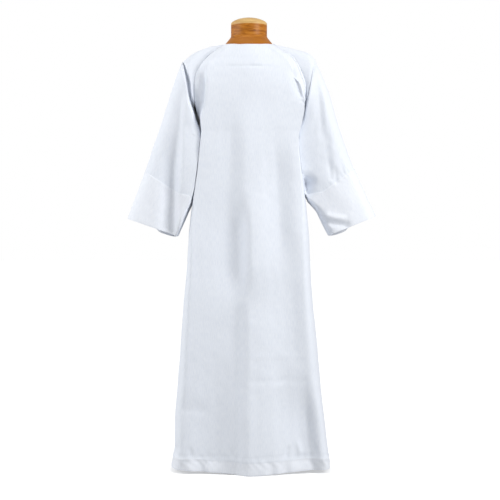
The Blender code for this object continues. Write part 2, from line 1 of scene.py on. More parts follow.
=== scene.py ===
"""An alb robe on a limbless dress form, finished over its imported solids.

The frame is metres, +Z up, the robe's front facing -Y and the wearer's left at +X. Every cloth piece is one
grid of points worked out from the tables below, and the grid is given the cloth's own thickness inwards.
"""

import math

import bpy
import numpy as np
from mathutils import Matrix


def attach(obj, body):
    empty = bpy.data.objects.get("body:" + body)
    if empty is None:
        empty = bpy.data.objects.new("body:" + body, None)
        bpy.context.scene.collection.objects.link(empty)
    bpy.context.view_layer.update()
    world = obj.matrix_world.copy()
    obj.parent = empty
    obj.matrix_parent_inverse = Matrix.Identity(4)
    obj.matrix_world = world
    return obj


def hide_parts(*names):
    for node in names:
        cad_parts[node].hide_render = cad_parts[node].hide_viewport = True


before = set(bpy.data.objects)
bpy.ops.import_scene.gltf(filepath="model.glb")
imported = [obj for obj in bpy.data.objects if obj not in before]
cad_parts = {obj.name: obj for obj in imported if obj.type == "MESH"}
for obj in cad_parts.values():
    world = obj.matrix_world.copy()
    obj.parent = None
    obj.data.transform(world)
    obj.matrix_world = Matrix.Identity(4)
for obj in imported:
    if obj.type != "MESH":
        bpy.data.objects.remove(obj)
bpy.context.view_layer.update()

bl_info = {
    "name": "Alb robe on a dress form",
    "version": (1, 0, 0),
    "blender": (4, 5, 0),
    "location": "3D View > Sidebar > Alb robe",
    "description": "A white raglan alb with hand-placed creases, its dress form and a plain studio",
    "category": "Object",
}

BODY = "root"

# Sizes of the robe, in metres. The hem's are at the side seams.
UNDERARM = 1.107  # height where the raglan seams and the side seam meet
HEM_SEAM = 0.0515  # height of the line where the hem's band is sewn
HEM_EDGE = 0.0120  # height of its lower edge
KNEE = 0.45  # height below which the skirt hangs lowest close to its middle
NECK_LOOP = 0.088  # radius of the neckline
FRONT_CORNER = 70.0  # degrees round the neck from the middle of the front to the front seam
BACK_CORNER = 125.0  # and to the back seam
SHOULDER_ROWS = 11  # places of a sleeve's top ring along each raglan seam
NECK_CELLS = 3  # and round the neck
RING_CROWDING = 0.14  # radians by which a ring's points are drawn towards its outer side
CROWDING_FADE = 0.55  # and over which that fades at both sides
SEAM_HOLD = 0.8  # share of a panel's corner over which folds fade towards the seam
SIDE_HOLD = 0.6  # sine of the angle over which folds fade at a sleeve's inner and outer sides
UNDERARM_HOLD = 1.3  # cosine over which the valley behind a sleeve's top fades under the arm
CAP_ROUNDING = 1.5  # power of the cosine by which the lift over the shoulder falls away
BACK_VALLEY = 0.45  # the back's valley, as a share of the front's

# How finely the cloth is laid out.
FLAT_CELLS = 96
CORNER_CELLS = 32
CORNER_CROWDING = 1.5  # power that draws a panel's points towards its seams
SHOULDER_CELLS = 92
SHOULDER_CROWDING = 1.15  # power that draws a panel's rows towards the neck
SKIRT_CELLS = 150
HEM_CELLS = 14
RING_CELLS = 176
SEAM_CELLS = 10  # over the tenth of the cap next to the raglan seam
INNER_CAP_CELLS = 13  # from there to the middle of the cap
OUTER_CAP_CELLS = 55  # and on to the fold over the armhole
SLEEVE_CELLS = 116
CUFF_CELLS = 64
PLACKET_CELLS = 12
NECK_SIDES = 128
NECK_BLOCK_CELLS = 150
FLOOR_SIDES = 96

# What seams, bands and gathers raise on the cloth, in metres. Places are measured from the seam.
SEAM_FREE = 0.012  # from a seam to where creases and ripples have their full height
FELL_RIDGE = 0.0035  # from a seam to the ridge over its felled allowance
SEAM_GROOVE = 0.0009  # width of the groove along the seam itself
GROOVE_SHARE = 0.8  # the groove's depth, as a share of the ridge's height
PANEL_FELL = (0.0006, 0.0026)  # height and width of the ridge on a panel
SLEEVE_FELL = (0.0007, 0.0024)  # and on a sleeve
RIGHT_FELL_SHARE = 0.4  # the right sleeve's ridge, as a share of the left's
SIDE_SEAM_SHARE = 0.45  # a side seam's ridge, as a share of PANEL_FELL
RIGHT_SEAM_SHARE = -0.20  # what is added above the underarm: the right raglan seam is pressed flatter
LEFT_SEAM_SHARE = 0.55
FELL_FADE = 0.04  # height over which it is added
SEAM_GATHER = (0.00045, 0.001, 0.003, 0.020)  # height, start, growth and reach of a seam's gathers
HEM_ROPING = (0.0010, -0.0160, 0.0180)  # height, place above the hem's seam, and width
HEM_GROOVE = (-0.0014, 0.0050, 0.0040)
HEM_RIDGE = (0.0012, -0.0035, 0.0040)
HEM_PUCKERS = (0.0006, 0.0100, 0.0120)
CUFF_PUCKERS = (0.0009, -0.0060, 0.0130)  # height, place beyond the cuff's seam, and width
BAND_PUCKERS = (0.0007, 0.0040, 0.0100)
CUFF_RISE = 0.0013  # how far the cuff's two layers stand proud of the sleeve
CUFF_GROOVE = (0.0006, 0.0030)  # depth and width of the groove above the cuff's seam
# Waves along them: metres to a radian, how far the wave is bent in radians, and metres to a radian of that.
SEAM_WAVE = (0.0024, 1.8, 0.011)
SEAM_PHASE = 2.0  # radians by which each side's gathers are shifted
ROPING_WAVE = (0.0042, 1.6, 0.021)
ROPING_SLANT = 0.9  # rise along the roping's threads for each metre across
ROPING_SWELL = (0.034, 1.3)  # metres to a radian and start of the wave in which the roping comes and goes
HEM_WAVE = (0.006, 2.2, 0.027)
CUFF_WAVE = (0.0030, 2.1, 0.013)
CUFF_SWELL = (0.6, 0.4, 0.029)  # mean and swing of the cuff's waves, and metres to a radian of the swing
OVERLAP_WAVE = (0.004, 1.5, 0.017)
NECK_ROUNDING = 0.0016  # rounding of the neckline's edge
EDGE_ROUNDING = 0.0015  # and of the hem's and the cuffs' edges
EDGE_SHARE = 0.5  # share of the thickness that the rounding takes
TURNED_EDGE = 0.070  # depth of the cloth that is turned under along the neck
TURNED_FADE = 0.004
TURNED_EXTRA = 0.9  # its extra thickness, in layers
PANEL_RIPPLE_TURN = 0.3  # radians by which the ripples are turned, one way in front and one behind
SLEEVE_RIPPLE_TURNS = (0.5, -0.4)  # and on a sleeve's front and back
CUFF_START = 0.03  # share of a cell by which a cuff starts beyond its sleeve's edge
BAND_GAP = 0.00006  # from the cloth's and the band's edges to the line between them
SIDE_GAP = 0.0001  # from a panel's edge to the side seam's plane

# Stitching. Rows and columns are counted in cells of the cloth's grid.
HEM_STITCH_ROW = 1  # above the hem's seam
HEM_STITCH_ENDS = 4
SEAM_STITCH_COLUMNS = {-1: 5, 1: 7}  # from the seam, on the front (-1) and the back (1)
SEAM_STITCH_START = 6
SEAM_STITCH_END = 4
NECK_STITCHES = 0.073  # from the neck down to the stitched line of the turned edge
NECK_STITCH_ENDS = 40
CUFF_STITCH_ROW = 3  # below the cuff's seam
MOUTH_STITCH_ROW = 8  # above the cuff's edge
STITCH_SHARE = 0.36  # half a stitch's length, as a share of its pitch

# The overlap on the wearer's left raglan seam.
OVERLAP_END = 1.226  # height of its lower end
OVERLAP_TUCK = 0.02  # length over which it sinks into the seam there
OVERLAP_REST = 0.0004  # how far that end stands proud
OVERLAP_EDGE = 0.0012  # rounding of its edges
OVERLAP_LEAST = 0.0003  # least rise at its edges
OVERLAP_FLOOR = 0.0002  # from its underside to the front's cloth
OVERLAP_RIPPLE = 0.0003
OVERLAP_RIPPLE_EDGE = 0.002  # from its edges to where the ripple is full

# The slots in front of the folds over the armholes. Angles are degrees from the shoulder's top, and other
# sizes are metres. A slot is depth deep and runs from the angle top to bottom, growing in and out over
# top_run and bottom_run. Its widths are read at turns, inner_run and outer_run are the slopes of its sides,
# and under is how far it reaches sideways. opening is how far the cloth sinks at the raglan seam. lean and
# low_lean move the sleeve's inner side towards the robe, lean from the cosine lean_start on. squareness is
# how square the sleeve's inner side is at its top and lower down, from the share square_top at the armhole,
# and outer_squareness the same of its outer side.
RIGHT_SLOT = {
    "depth": 0.028, "under": 0.004, "top": 12.0, "top_run": 14.0, "bottom": 156.0, "bottom_run": 20.0,
    "turns": (0.0, 20.0, 44.0, 66.0, 75.0, 93.0, 100.0, 114.0, 120.0, 139.0, 180.0),
    "widths": (0.003, 0.004, 0.0070, 0.0105, 0.0115, 0.0062, 0.0070, 0.0095, 0.0090, 0.0040, 0.0030),
    "inner_run": 0.003, "outer_run": 0.0022, "opening": 0.0,
    "lean": 0.0055, "lean_start": 0.0, "low_lean": 0.008, "square_top": 0.6,
    "squareness": (0.66, 0.82), "outer_squareness": 0.0,
}
LEFT_SLOT = {
    "depth": 0.006, "under": 0.000, "top": 4.0, "top_run": 24.0, "bottom": 156.0, "bottom_run": 24.0,
    "turns": (0.0, 20.0, 60.0, 90.0, 112.0, 130.0, 145.0, 180.0),
    "widths": (0.0018, 0.0018, 0.0018, 0.0016, 0.0014, 0.0014, 0.0020, 0.0018),
    "inner_run": 0.0015, "outer_run": 0.0012, "opening": 0.0045,
    "lean": 0.000, "lean_start": 0.5, "low_lean": 0.012, "square_top": 0.6,
    "squareness": (0.74, 0.62), "outer_squareness": 0.30,
}
LIP_RADIUS = 0.006  # rounding of the fold over the armhole
LIP_PLACES = 0.16  # how far down the sleeve it reaches, in ring places
LIP_STARTS = (0.0, 0.012, 0.03, 0.055, 0.085, 0.12)  # ring places of the rings laid on it
CUFF_RING = 6  # the ring where the cuff is sewn on
LAST_RING = 9
BODY_CLEARANCE = 0.0008  # between a sleeve and the robe's side
TOUCH_START = 0.002  # height below the underarm from which they touch
TOUCH_GROWTH = 0.014
TOUCH_END = 0.850  # height down to which they touch
TOUCH_FADE = 0.075  # height over which they part
CLEAR_START = 0.004  # height below the underarm from which a sleeve stays outside the robe
CLEAR_END = 0.7  # height down to which it does
# Where on a sleeve each change of its shape counts: cosines round a ring are 1 outside and -1 inside, and
# places are rings from the armhole down. A pair is the start and the run over which the change grows.
SIDE_COS = 0.6  # squareness, on both sides
LEAN_COS = 0.5  # the lean, from lean_start inwards
INNER_COS = 0.5  # where the inner side starts
LOW_LEAN_COS = 0.35
TOUCH_COS = 0.2
BEHIND_COS = 0.5  # the tuck and the drop behind
TOP_PLACES = 1.5  # over which a sleeve's top settles into the tube
LOWER_PLACES = (1, 4)
OUTER_PLACES = (0, 3)
TUCK_PLACES = (3, 3)
DROP_PLACES = (7.5, 1.5)
CREASE_PLACES = (0, 0.5)
OPENING_COS = (0.05, 0.25)  # where the cloth sinks at the raglan seam, beside the slot
OPENING_WIDTH = 0.0045
FRONT_FULLNESS = 0.024  # how much further forward a sleeve's front stands than the solid's
MOUTH_DROP = 0.0040  # how much lower the back of a cuff's mouth hangs on its inner side
FACE_EDGE = 0.12  # sine of the angle over which creases fade at a sleeve's inner and outer edge
INNER_TUCK = 0.0150  # how much further out the back of a sleeve's inner side hangs
ARMHOLE_SETTLING = 14  # rounds of smoothing where the cap meets the tube, away from the slot
SETTLED_ROWS = 9  # rows that they smooth on each side
SHARP_EDGE = 48.0  # degrees
FLOOR_RADIUS = 90
FLOOR_HEIGHT = -0.0005  # just under the stand's base

# The panels. Each row is one height. Widths are measured from the middle, right and left being the
# wearer's, and depths from the side seam's plane towards the front of a front or the back of a back.
# seam: the raglan or side seam. edge: where the panel's flat ends. crown: how much nearer the middle is
# than the flat's ends. bulge: 0 for a straight run from edge to seam, 1 for a full round corner.
# dip: how far the middle of the row hangs below its ends.
PANEL_COLUMNS = ("height", "seam_right", "seam_left", "seam_depth", "edge_right", "edge_left",
                 "middle", "crown", "bulge", "dip")
FRONT_ROWS = (
    (1.408, 0.082, 0.083, 0.030, 0.050, 0.050, 0.088, 0.0156, 0.60, 0.005),
    (1.389, 0.109, 0.111, 0.038, 0.078, 0.080, 0.098, 0.0180, 0.55, 0.004),
    (1.364, 0.138, 0.143, 0.047, 0.104, 0.108, 0.108, 0.018, 0.50, 0.003),
    (1.332, 0.162, 0.163, 0.066, 0.134, 0.136, 0.116, 0.014, 0.30, 0.0),
    (1.298, 0.177, 0.176, 0.076, 0.138, 0.152, 0.121, 0.009, 0.15, 0.0),
    (1.262, 0.181, 0.186, 0.081, 0.143, 0.1720, 0.124, 0.006, 0.12, 0.0),
    (1.225, 0.179, 0.187, 0.080, 0.1475, 0.1800, 0.125, 0.005, 0.15, 0.0),
    (1.188, 0.173, 0.179, 0.070, 0.152, 0.1805, 0.126, 0.005, 0.25, 0.0),
    (1.155, 0.163, 0.170, 0.052, 0.156, 0.1750, 0.127, 0.006, 0.40, 0.0),
    (1.130, 0.161, 0.166, 0.032, 0.154, 0.1695, 0.128, 0.007, 0.60, 0.0),
    (1.114, 0.160, 0.164, 0.014, 0.1515, 0.1650, 0.1282, 0.008, 0.80, 0.0),
    (1.107, 0.160, 0.163, 0.000, 0.1525, 0.1625, 0.1284, 0.0080, 0.95, 0.0),
    (1.060, 0.164, 0.166, 0.000, 0.1580, 0.1600, 0.130, 0.009, 1.00, 0.0),
    (1.000, 0.170, 0.173, 0.000, 0.1642, 0.165, 0.132, 0.013, 1.00, 0.0),
    (0.940, 0.178, 0.181, 0.000, 0.1722, 0.170, 0.134, 0.016, 1.00, 0.0),
    (0.888, 0.186, 0.187, 0.000, 0.1785, 0.172, 0.136, 0.016, 1.00, 0.0),
    (0.775, 0.199, 0.199, 0.000, 0.1850, 0.172, 0.141, 0.013, 1.00, 0.0),
    (0.668, 0.206, 0.204, 0.000, 0.185, 0.173, 0.146, 0.012, 1.00, 0.0),
    (0.561, 0.216, 0.211, 0.000, 0.190, 0.175, 0.150, 0.014, 1.00, 0.0),
    (0.428, 0.226, 0.225, 0.000, 0.195, 0.182, 0.155, 0.018, 1.00, 0.0010),
    (0.295, 0.236, 0.236, 0.000, 0.200, 0.190, 0.160, 0.025, 1.00, 0.0030),
    (0.162, 0.246, 0.250, 0.000, 0.205, 0.199, 0.1650, 0.0340, 1.00, 0.0080),
    (0.082, 0.247, 0.260, 0.000, 0.206, 0.205, 0.1655, 0.0345, 1.00, 0.0105),
    (0.0515, 0.251, 0.264, 0.000, 0.208, 0.208, 0.1645, 0.0340, 1.00, 0.0105),
    (0.0120, 0.258, 0.268, 0.000, 0.212, 0.211, 0.1630, 0.0330, 1.00, 0.0110),
)
BACK_ROWS = (
    (1.414, 0.072, 0.072, 0.050, 0.044, 0.044, 0.088, 0.0118, 0.60, -0.006),
    (1.398, 0.103, 0.104, 0.056, 0.072, 0.073, 0.096, 0.014, 0.55, -0.004),
    (1.378, 0.128, 0.130, 0.062, 0.095, 0.096, 0.103, 0.014, 0.50, -0.002),
    (1.344, 0.154, 0.156, 0.073, 0.120, 0.122, 0.110, 0.012, 0.40, 0.0),
    (1.308, 0.170, 0.172, 0.081, 0.130, 0.132, 0.114, 0.010, 0.35, 0.0),
    (1.270, 0.178, 0.181, 0.085, 0.134, 0.136, 0.117, 0.009, 0.35, 0.0),
    (1.231, 0.179, 0.184, 0.082, 0.137, 0.139, 0.118, 0.009, 0.40, 0.0),
    (1.192, 0.174, 0.180, 0.070, 0.139, 0.141, 0.119, 0.009, 0.50, 0.0),
    (1.157, 0.168, 0.174, 0.051, 0.140, 0.142, 0.120, 0.010, 0.60, 0.0),
    (1.131, 0.164, 0.169, 0.031, 0.140, 0.142, 0.120, 0.010, 0.75, 0.0),
    (1.114, 0.161, 0.165, 0.013, 0.139, 0.141, 0.121, 0.011, 0.90, 0.0),
    (1.107, 0.160, 0.163, 0.000, 0.138, 0.140, 0.121, 0.011, 0.95, 0.0),
    (1.060, 0.164, 0.166, 0.000, 0.130, 0.132, 0.122, 0.013, 1.00, 0.0),
    (1.000, 0.170, 0.173, 0.000, 0.126, 0.128, 0.124, 0.015, 1.00, 0.0),
    (0.940, 0.178, 0.181, 0.000, 0.126, 0.127, 0.127, 0.017, 1.00, 0.0),
    (0.888, 0.186, 0.187, 0.000, 0.130, 0.130, 0.131, 0.018, 1.00, 0.0),
    (0.775, 0.199, 0.199, 0.000, 0.138, 0.137, 0.140, 0.020, 1.00, 0.0),
    (0.668, 0.206, 0.204, 0.000, 0.144, 0.142, 0.148, 0.021, 1.00, 0.0),
    (0.561, 0.216, 0.211, 0.000, 0.150, 0.147, 0.156, 0.022, 1.00, 0.0),
    (0.428, 0.226, 0.225, 0.000, 0.157, 0.156, 0.166, 0.023, 1.00, 0.0),
    (0.295, 0.236, 0.236, 0.000, 0.164, 0.164, 0.176, 0.024, 1.00, 0.0020),
    (0.162, 0.246, 0.250, 0.000, 0.171, 0.174, 0.187, 0.025, 1.00, 0.0030),
    (0.082, 0.247, 0.260, 0.000, 0.173, 0.181, 0.193, 0.026, 1.00, 0.0040),
    (0.0515, 0.251, 0.264, 0.000, 0.176, 0.184, 0.196, 0.026, 1.00, 0.0050),
    (0.0120, 0.258, 0.268, 0.000, 0.181, 0.187, 0.199, 0.026, 1.00, 0.0050),
)
# The sleeves. Each row is one ring, from the fold over the armhole to the cuff's edge: its outermost and
# innermost points as distance from the middle and height, half its depth, and how far it stands forward.
RING_COLUMNS = ("outer", "outer_height", "inner", "inner_height", "half_depth", "forward")
RIGHT_RINGS = (
    (0.222, 1.352, 0.167, 1.094, 0.078, 0.000),
    (0.243, 1.300, 0.168, 1.075, 0.079, 0.001),
    (0.258, 1.255, 0.170, 1.055, 0.077, 0.002),
    (0.277, 1.192, 0.1725, 1.025, 0.074, 0.004),
    (0.298, 1.127, 0.175, 0.990, 0.070, 0.006),
    (0.321, 1.061, 0.180, 0.940, 0.067, 0.008),
    (0.345, 0.988, 0.190, 0.887, 0.064, 0.010),
    (0.362, 0.938, 0.203, 0.851, 0.063, 0.012),
    (0.381, 0.889, 0.219, 0.814, 0.062, 0.014),
    (0.402, 0.831, 0.237, 0.774, 0.062, 0.016),
)
LEFT_RINGS = (
    (0.220, 1.361, 0.168, 1.092, 0.078, 0.000),
    (0.246, 1.300, 0.169, 1.072, 0.079, 0.001),
    (0.263, 1.255, 0.172, 1.050, 0.077, 0.002),
    (0.281, 1.194, 0.1765, 1.022, 0.074, 0.004),
    (0.301, 1.127, 0.183, 0.985, 0.071, 0.006),
    (0.323, 1.061, 0.189, 0.935, 0.069, 0.008),
    (0.348, 0.996, 0.206, 0.893, 0.067, 0.010),
    (0.370, 0.944, 0.226, 0.853, 0.066, 0.012),
    (0.395, 0.891, 0.244, 0.815, 0.065, 0.014),
    (0.419, 0.839, 0.264, 0.776, 0.064, 0.016),
)

# The rings over the shoulder, between the raglan seam and the fold over the armhole: how far along each
# one lies, how far it rises over the shoulder, and how deep the valley behind the fold is there.
RIGHT_CAP = (
    (0.33, 0.0120, 0.000),
    (0.62, 0.0145, 0.003),
    (0.74, 0.0130, 0.021),
    (0.88, 0.0060, 0.022),
)
LEFT_CAP = (
    (0.33, 0.0070, 0.000),
    (0.62, 0.0115, 0.002),
    (0.76, 0.0135, 0.012),
    (0.89, 0.0100, 0.012),
)

# Soft ridges (depth above 0) and troughs (below 0): each is a bell across a sloping line that runs from
# (x_top, top) to (x_bottom, bottom) as seen from the front. The columns are top, x_top, bottom, x_bottom,
# half the bell's width, and the depth. The robe's front and the sleeves' fronts have none.
BACK_FOLDS = (
    (1.300, 0.030, -0.30, 0.042, 0.028, -0.013),
    (1.270, -0.078, -0.30, -0.108, 0.032, -0.016),
    (1.200, 0.118, -0.30, 0.152, 0.032, -0.015),
    (1.200, -0.022, -0.30, -0.034, 0.028, 0.009),
    (1.180, 0.076, -0.30, 0.098, 0.026, 0.008),
    (0.750, -0.150, -0.30, -0.185, 0.034, 0.009),
)
RIGHT_BACK_FOLDS = (
    (1.210, -0.235, 0.60, -0.300, 0.024, -0.011),
    (1.050, -0.215, 0.70, -0.245, 0.018, 0.004),
)
LEFT_BACK_FOLDS = (
    (1.200, 0.240, 0.60, 0.310, 0.024, -0.012),
    (1.080, 0.215, 0.72, 0.250, 0.018, -0.005),
)
FOLD_FADE = 0.10  # length over which a fold grows in and dies away

# Folds over: the cloth climbs from a hollow on the wearer's right of a line to a crest on its left, over a
# width, and falls back slowly on both sides. Each row is the line's (x_start, z_start) and (x_end, z_end) as
# seen from the front, how far it bows towards the wearer's left, the width and the height of the climb, the
# share of the height that lies below the cloth, the lengths over which it falls back on the wearer's right
# and on the left, and the share of the line over which it grows in and dies away.
FRONT_STEPS = (
    (-0.036, 1.235, -0.034, 0.780, 0.000, 0.056, 0.0200, 0.45, 0.10, 0.16, 0.45, 0.35),
    (-0.040, 0.960, -0.034, 0.500, -0.002, 0.068, 0.0330, 0.55, 0.13, 0.16, 0.40, 0.40),
    (-0.006, 0.930, -0.002, 0.540, -0.002, 0.036, 0.0200, 0.60, 0.05, 0.10, 0.35, 0.35),
    (-0.022, 0.660, -0.022, -0.030, 0.003, 0.052, 0.0295, 0.50, 0.16, 0.12, 0.30, 0.02),
    (-0.078, 0.520, -0.066, -0.030, 0.000, 0.085, 0.0200, 0.50, 0.10, 0.06, 0.60, 0.02),
    (0.106, 1.180, 0.134, 0.640, 0.002, 0.064, 0.0240, 0.38, 0.10, 0.05, 0.40, 0.30),
    (0.146, 0.740, 0.178, 0.300, 0.002, 0.066, 0.0130, 0.50, 0.10, 0.05, 0.35, 0.30),
    (0.208, 0.360, 0.242, -0.030, 0.000, 0.080, 0.0580, 0.45, 0.12, 0.06, 0.50, 0.02),
)
# Creases placed one by one. Each is a bell across a straight or bowed line from (x_start, z_start) to
# (x_end, z_end) as seen from the front: how far it bows towards the wearer's left, its width on the wearer's
# right and on the left of the line (below and above one that runs across), how far it stands out (below 0
# for a trough), and the share of the line over which it grows in and dies away.
FRONT_CREASES = (
    (0.068, 0.397, 0.117, 0.297, 0.000, 0.0291, 0.0291, -0.0028, 0.50, 0.10),
    (-0.149, 0.258, -0.159, -0.030, 0.000, 0.0300, 0.0260, -0.0050, 0.45, 0.05),
    (-0.165, 0.744, -0.168, 0.592, 0.000, 0.0162, 0.0194, -0.0018, 0.40, 0.40),
    (0.042, 1.181, 0.029, 0.728, 0.000, 0.0324, 0.0291, 0.0015, 0.40, 0.40),
    (-0.113, 1.213, -0.126, 0.469, 0.000, 0.0388, 0.0388, 0.0020, 0.40, 0.40),
    (-0.068, 1.239, -0.087, 1.051, 0.000, 0.0259, 0.0259, -0.0012, 0.40, 0.40),
    # The hollows beside the right and the left raglan seam, and the one down the middle of the skirt.
    (-0.151, 1.335, -0.161, 1.160, 0.000, 0.0140, 0.0110, -0.0220, 0.40, 0.35),
    (0.138, 1.350, 0.178, 1.205, 0.000, 0.0190, 0.0060, -0.0090, 0.35, 0.30),
    (-0.040, 0.900, -0.036, 0.540, 0.000, 0.0300, 0.0240, -0.0120, 0.35, 0.35),
    # The puckers above the hem.
    (0.130, 0.096, 0.120, 0.054, 0.000, 0.0060, 0.0070, -0.0050, 0.40, 0.15),
    (0.152, 0.112, 0.168, 0.058, 0.002, 0.0070, 0.0080, 0.0040, 0.45, 0.20),
    (0.214, 0.104, 0.222, 0.054, 0.000, 0.0070, 0.0070, -0.0050, 0.40, 0.15),
    (-0.236, 0.096, -0.246, 0.054, 0.000, 0.0070, 0.0080, -0.0050, 0.40, 0.15),
    (-0.196, 0.090, -0.184, 0.056, 0.000, 0.0070, 0.0070, -0.0030, 0.40, 0.20),
    (-0.060, 0.088, -0.052, 0.058, 0.000, 0.0070, 0.0060, -0.0025, 0.40, 0.20),
)
# How far the hem's edge kicks out (below 0 for in) at places across the front (-1) and the back (1).
HEM_KICKS = {
    -1: (
        (-0.260, -0.003), (-0.236, -0.008), (-0.212, -0.005), (-0.186, 0.008), (-0.154, -0.002),
        (-0.126, 0.008), (-0.096, 0.006), (-0.062, -0.002), (-0.020, -0.003), (0.020, 0.001),
        (0.052, 0.004), (0.074, -0.003), (0.096, 0.004), (0.118, -0.003), (0.144, 0.007),
        (0.190, 0.007), (0.216, -0.004), (0.240, -0.008), (0.268, -0.002),
    ),
    1: (
        (-0.260, -0.002), (-0.214, 0.005), (-0.160, -0.005), (-0.110, 0.004), (-0.052, 0.002),
        (-0.008, -0.005), (0.046, 0.005), (0.092, -0.002), (0.140, 0.006), (0.204, -0.005), (0.268, 0.002),
    ),
}
# Faint lines left by folding the robe flat, in the same columns as the creases.
PRESS_FOLDS = (
    (-0.097, 0.383, 0.204, 0.383, 0.000, 0.0040, 0.0060, 0.0009, 0.20, 0.20),
    (-0.087, 0.488, 0.062, 0.488, 0.000, 0.0040, 0.0060, 0.0007, 0.20, 0.30),
    (-0.019, 0.300, 0.210, 0.300, 0.000, 0.0045, 0.0129, -0.0014, 0.15, 0.15),
    (0.042, 1.048, 0.113, 1.046, 0.000, 0.0040, 0.0050, 0.0008, 0.30, 0.30),
    (-0.236, 0.210, -0.107, 0.203, 0.000, 0.0129, 0.0259, -0.0020, 0.20, 0.40),
)
SHOULDER_CREASES = (
    # Along the overlap and at its lower end, and the stitched line of the neck's turned edge.
    (0.145, 1.328, 0.183, 1.217, 0.004, 0.0104, 0.0065, -0.0045, 0.20, 0.15),
    (0.164, 1.216, 0.186, 1.206, 0.000, 0.0042, 0.0042, -0.0040, 0.30, 0.30),
    (-0.070, 1.327, 0.078, 1.327, 0.000, 0.0030, 0.0034, -0.0012, 0.08, 0.08),
    (-0.006, 1.326, 0.046, 1.327, 0.000, 0.0034, 0.0044, -0.0020, 0.30, 0.30),
)
BACK_CREASES = (
    (0.034, 1.230, 0.046, 0.240, 0.004, 0.0240, 0.0420, -0.0060, 0.30, 0.30),
    (-0.084, 1.180, -0.106, 0.420, -0.005, 0.0460, 0.0230, -0.0065, 0.30, 0.25),
    (0.124, 1.120, 0.150, 0.380, 0.004, 0.0280, 0.0420, -0.0055, 0.25, 0.30),
    (-0.024, 1.140, -0.031, 0.380, 0.003, 0.0200, 0.0280, 0.0035, 0.35, 0.35),
    (0.081, 1.060, 0.094, 0.200, -0.003, 0.0280, 0.0180, 0.0040, 0.30, 0.30),
    (-0.150, 0.980, -0.168, 0.340, 0.003, 0.0260, 0.0220, 0.0030, 0.35, 0.35),
    (-0.060, 0.560, -0.078, -0.017, 0.000, 0.0340, 0.0240, 0.0060, 0.40, 0.10),
    (0.010, 0.440, 0.006, -0.017, 0.000, 0.0300, 0.0380, -0.0060, 0.40, 0.10),
    (0.190, 0.520, 0.208, -0.017, 0.000, 0.0260, 0.0340, 0.0045, 0.40, 0.10),
    (-0.120, 0.340, -0.134, -0.017, 0.000, 0.0320, 0.0280, -0.0060, 0.50, 0.05),
    (-0.052, 1.300, 0.070, 1.262, 0.008, 0.0100, 0.0150, -0.0018, 0.30, 0.40),
    (-0.110, 1.230, -0.020, 1.196, -0.006, 0.0110, 0.0140, 0.0014, 0.35, 0.35),
    (0.060, 0.912, 0.150, 0.900, 0.004, 0.0080, 0.0110, -0.0012, 0.30, 0.30),
)
BACK_PRESS_FOLDS = (
    (-0.180, 0.610, 0.120, 0.606, 0.000, 0.0040, 0.0060, 0.0009, 0.20, 0.20),
    (-0.060, 0.352, 0.200, 0.350, 0.000, 0.0045, 0.0120, -0.0013, 0.20, 0.20),
    (-0.090, 0.868, 0.070, 0.870, 0.000, 0.0040, 0.0050, 0.0008, 0.25, 0.25),
)
RIGHT_SLEEVE_STEPS = (
    (-0.203, 1.285, -0.226, 1.020, -0.002, 0.028, 0.0190, 0.50, 0.04, 0.10, 0.30, 0.35),
    (-0.219, 1.140, -0.236, 0.740, -0.005, 0.036, 0.0420, 0.50, 0.06, 0.20, 0.35, 0.02),
)
RIGHT_SLEEVE_CREASES = (
    (-0.292, 1.154, -0.335, 0.892, 0.000, 0.0197, 0.0197, 0.0015, 0.40, 0.30),
    (-0.272, 1.319, -0.302, 1.089, 0.000, 0.0099, 0.0131, -0.0012, 0.40, 0.40),
)
RIGHT_SLEEVE_BACK_CREASES = (
    (-0.236, 1.262, -0.290, 0.770, 0.006, 0.0240, 0.0160, -0.0060, 0.30, 0.15),
    (-0.262, 1.180, -0.330, 0.880, -0.004, 0.0160, 0.0200, 0.0030, 0.35, 0.30),
    (-0.205, 1.120, -0.226, 0.860, 0.003, 0.0130, 0.0150, -0.0030, 0.40, 0.30),
    (-0.215, 1.030, -0.300, 1.006, 0.004, 0.0090, 0.0120, -0.0020, 0.35, 0.40),
    (-0.226, 0.940, -0.290, 0.952, -0.004, 0.0080, 0.0110, 0.0016, 0.40, 0.35),
)
LEFT_SLEEVE_STEPS = (
    (0.222, 1.345, 0.248, 1.080, 0.004, 0.024, 0.0100, 0.50, 0.05, 0.06, 0.20, 0.35),
    (0.246, 1.170, 0.277, 0.960, 0.002, 0.028, 0.0085, 0.50, 0.06, 0.06, 0.35, 0.20),
)
LEFT_SLEEVE_CREASES = (
    # The dent beside the body, and the gathers above the cuff's seam.
    (0.183, 0.990, 0.195, 0.888, 0.000, 0.0130, 0.0140, -0.0300, 0.42, 0.42),
    (0.263, 1.036, 0.269, 0.951, 0.000, 0.0072, 0.0072, -0.0026, 0.40, 0.10),
    (0.282, 1.010, 0.286, 0.941, 0.000, 0.0072, 0.0066, -0.0030, 0.40, 0.10),
    (0.302, 1.017, 0.310, 0.971, 0.000, 0.0053, 0.0053, -0.0016, 0.40, 0.10),
    (0.197, 0.971, 0.194, 0.925, 0.000, 0.0148, 0.0164, -0.0140, 0.45, 0.45),
    (0.212, 0.961, 0.215, 0.951, 0.000, 0.0043, 0.0046, -0.0030, 0.40, 0.40),
    (0.292, 1.286, 0.332, 1.056, 0.000, 0.0131, 0.0164, 0.0018, 0.40, 0.40),
)
LEFT_SLEEVE_BACK_CREASES = (
    (0.238, 1.270, 0.300, 0.790, -0.006, 0.0170, 0.0250, -0.0060, 0.30, 0.15),
    (0.268, 1.190, 0.326, 0.920, 0.004, 0.0150, 0.0180, 0.0030, 0.35, 0.30),
    (0.208, 1.100, 0.236, 0.850, -0.003, 0.0150, 0.0130, -0.0030, 0.40, 0.30),
    (0.218, 1.010, 0.310, 0.984, 0.004, 0.0090, 0.0120, -0.0022, 0.35, 0.40),
)
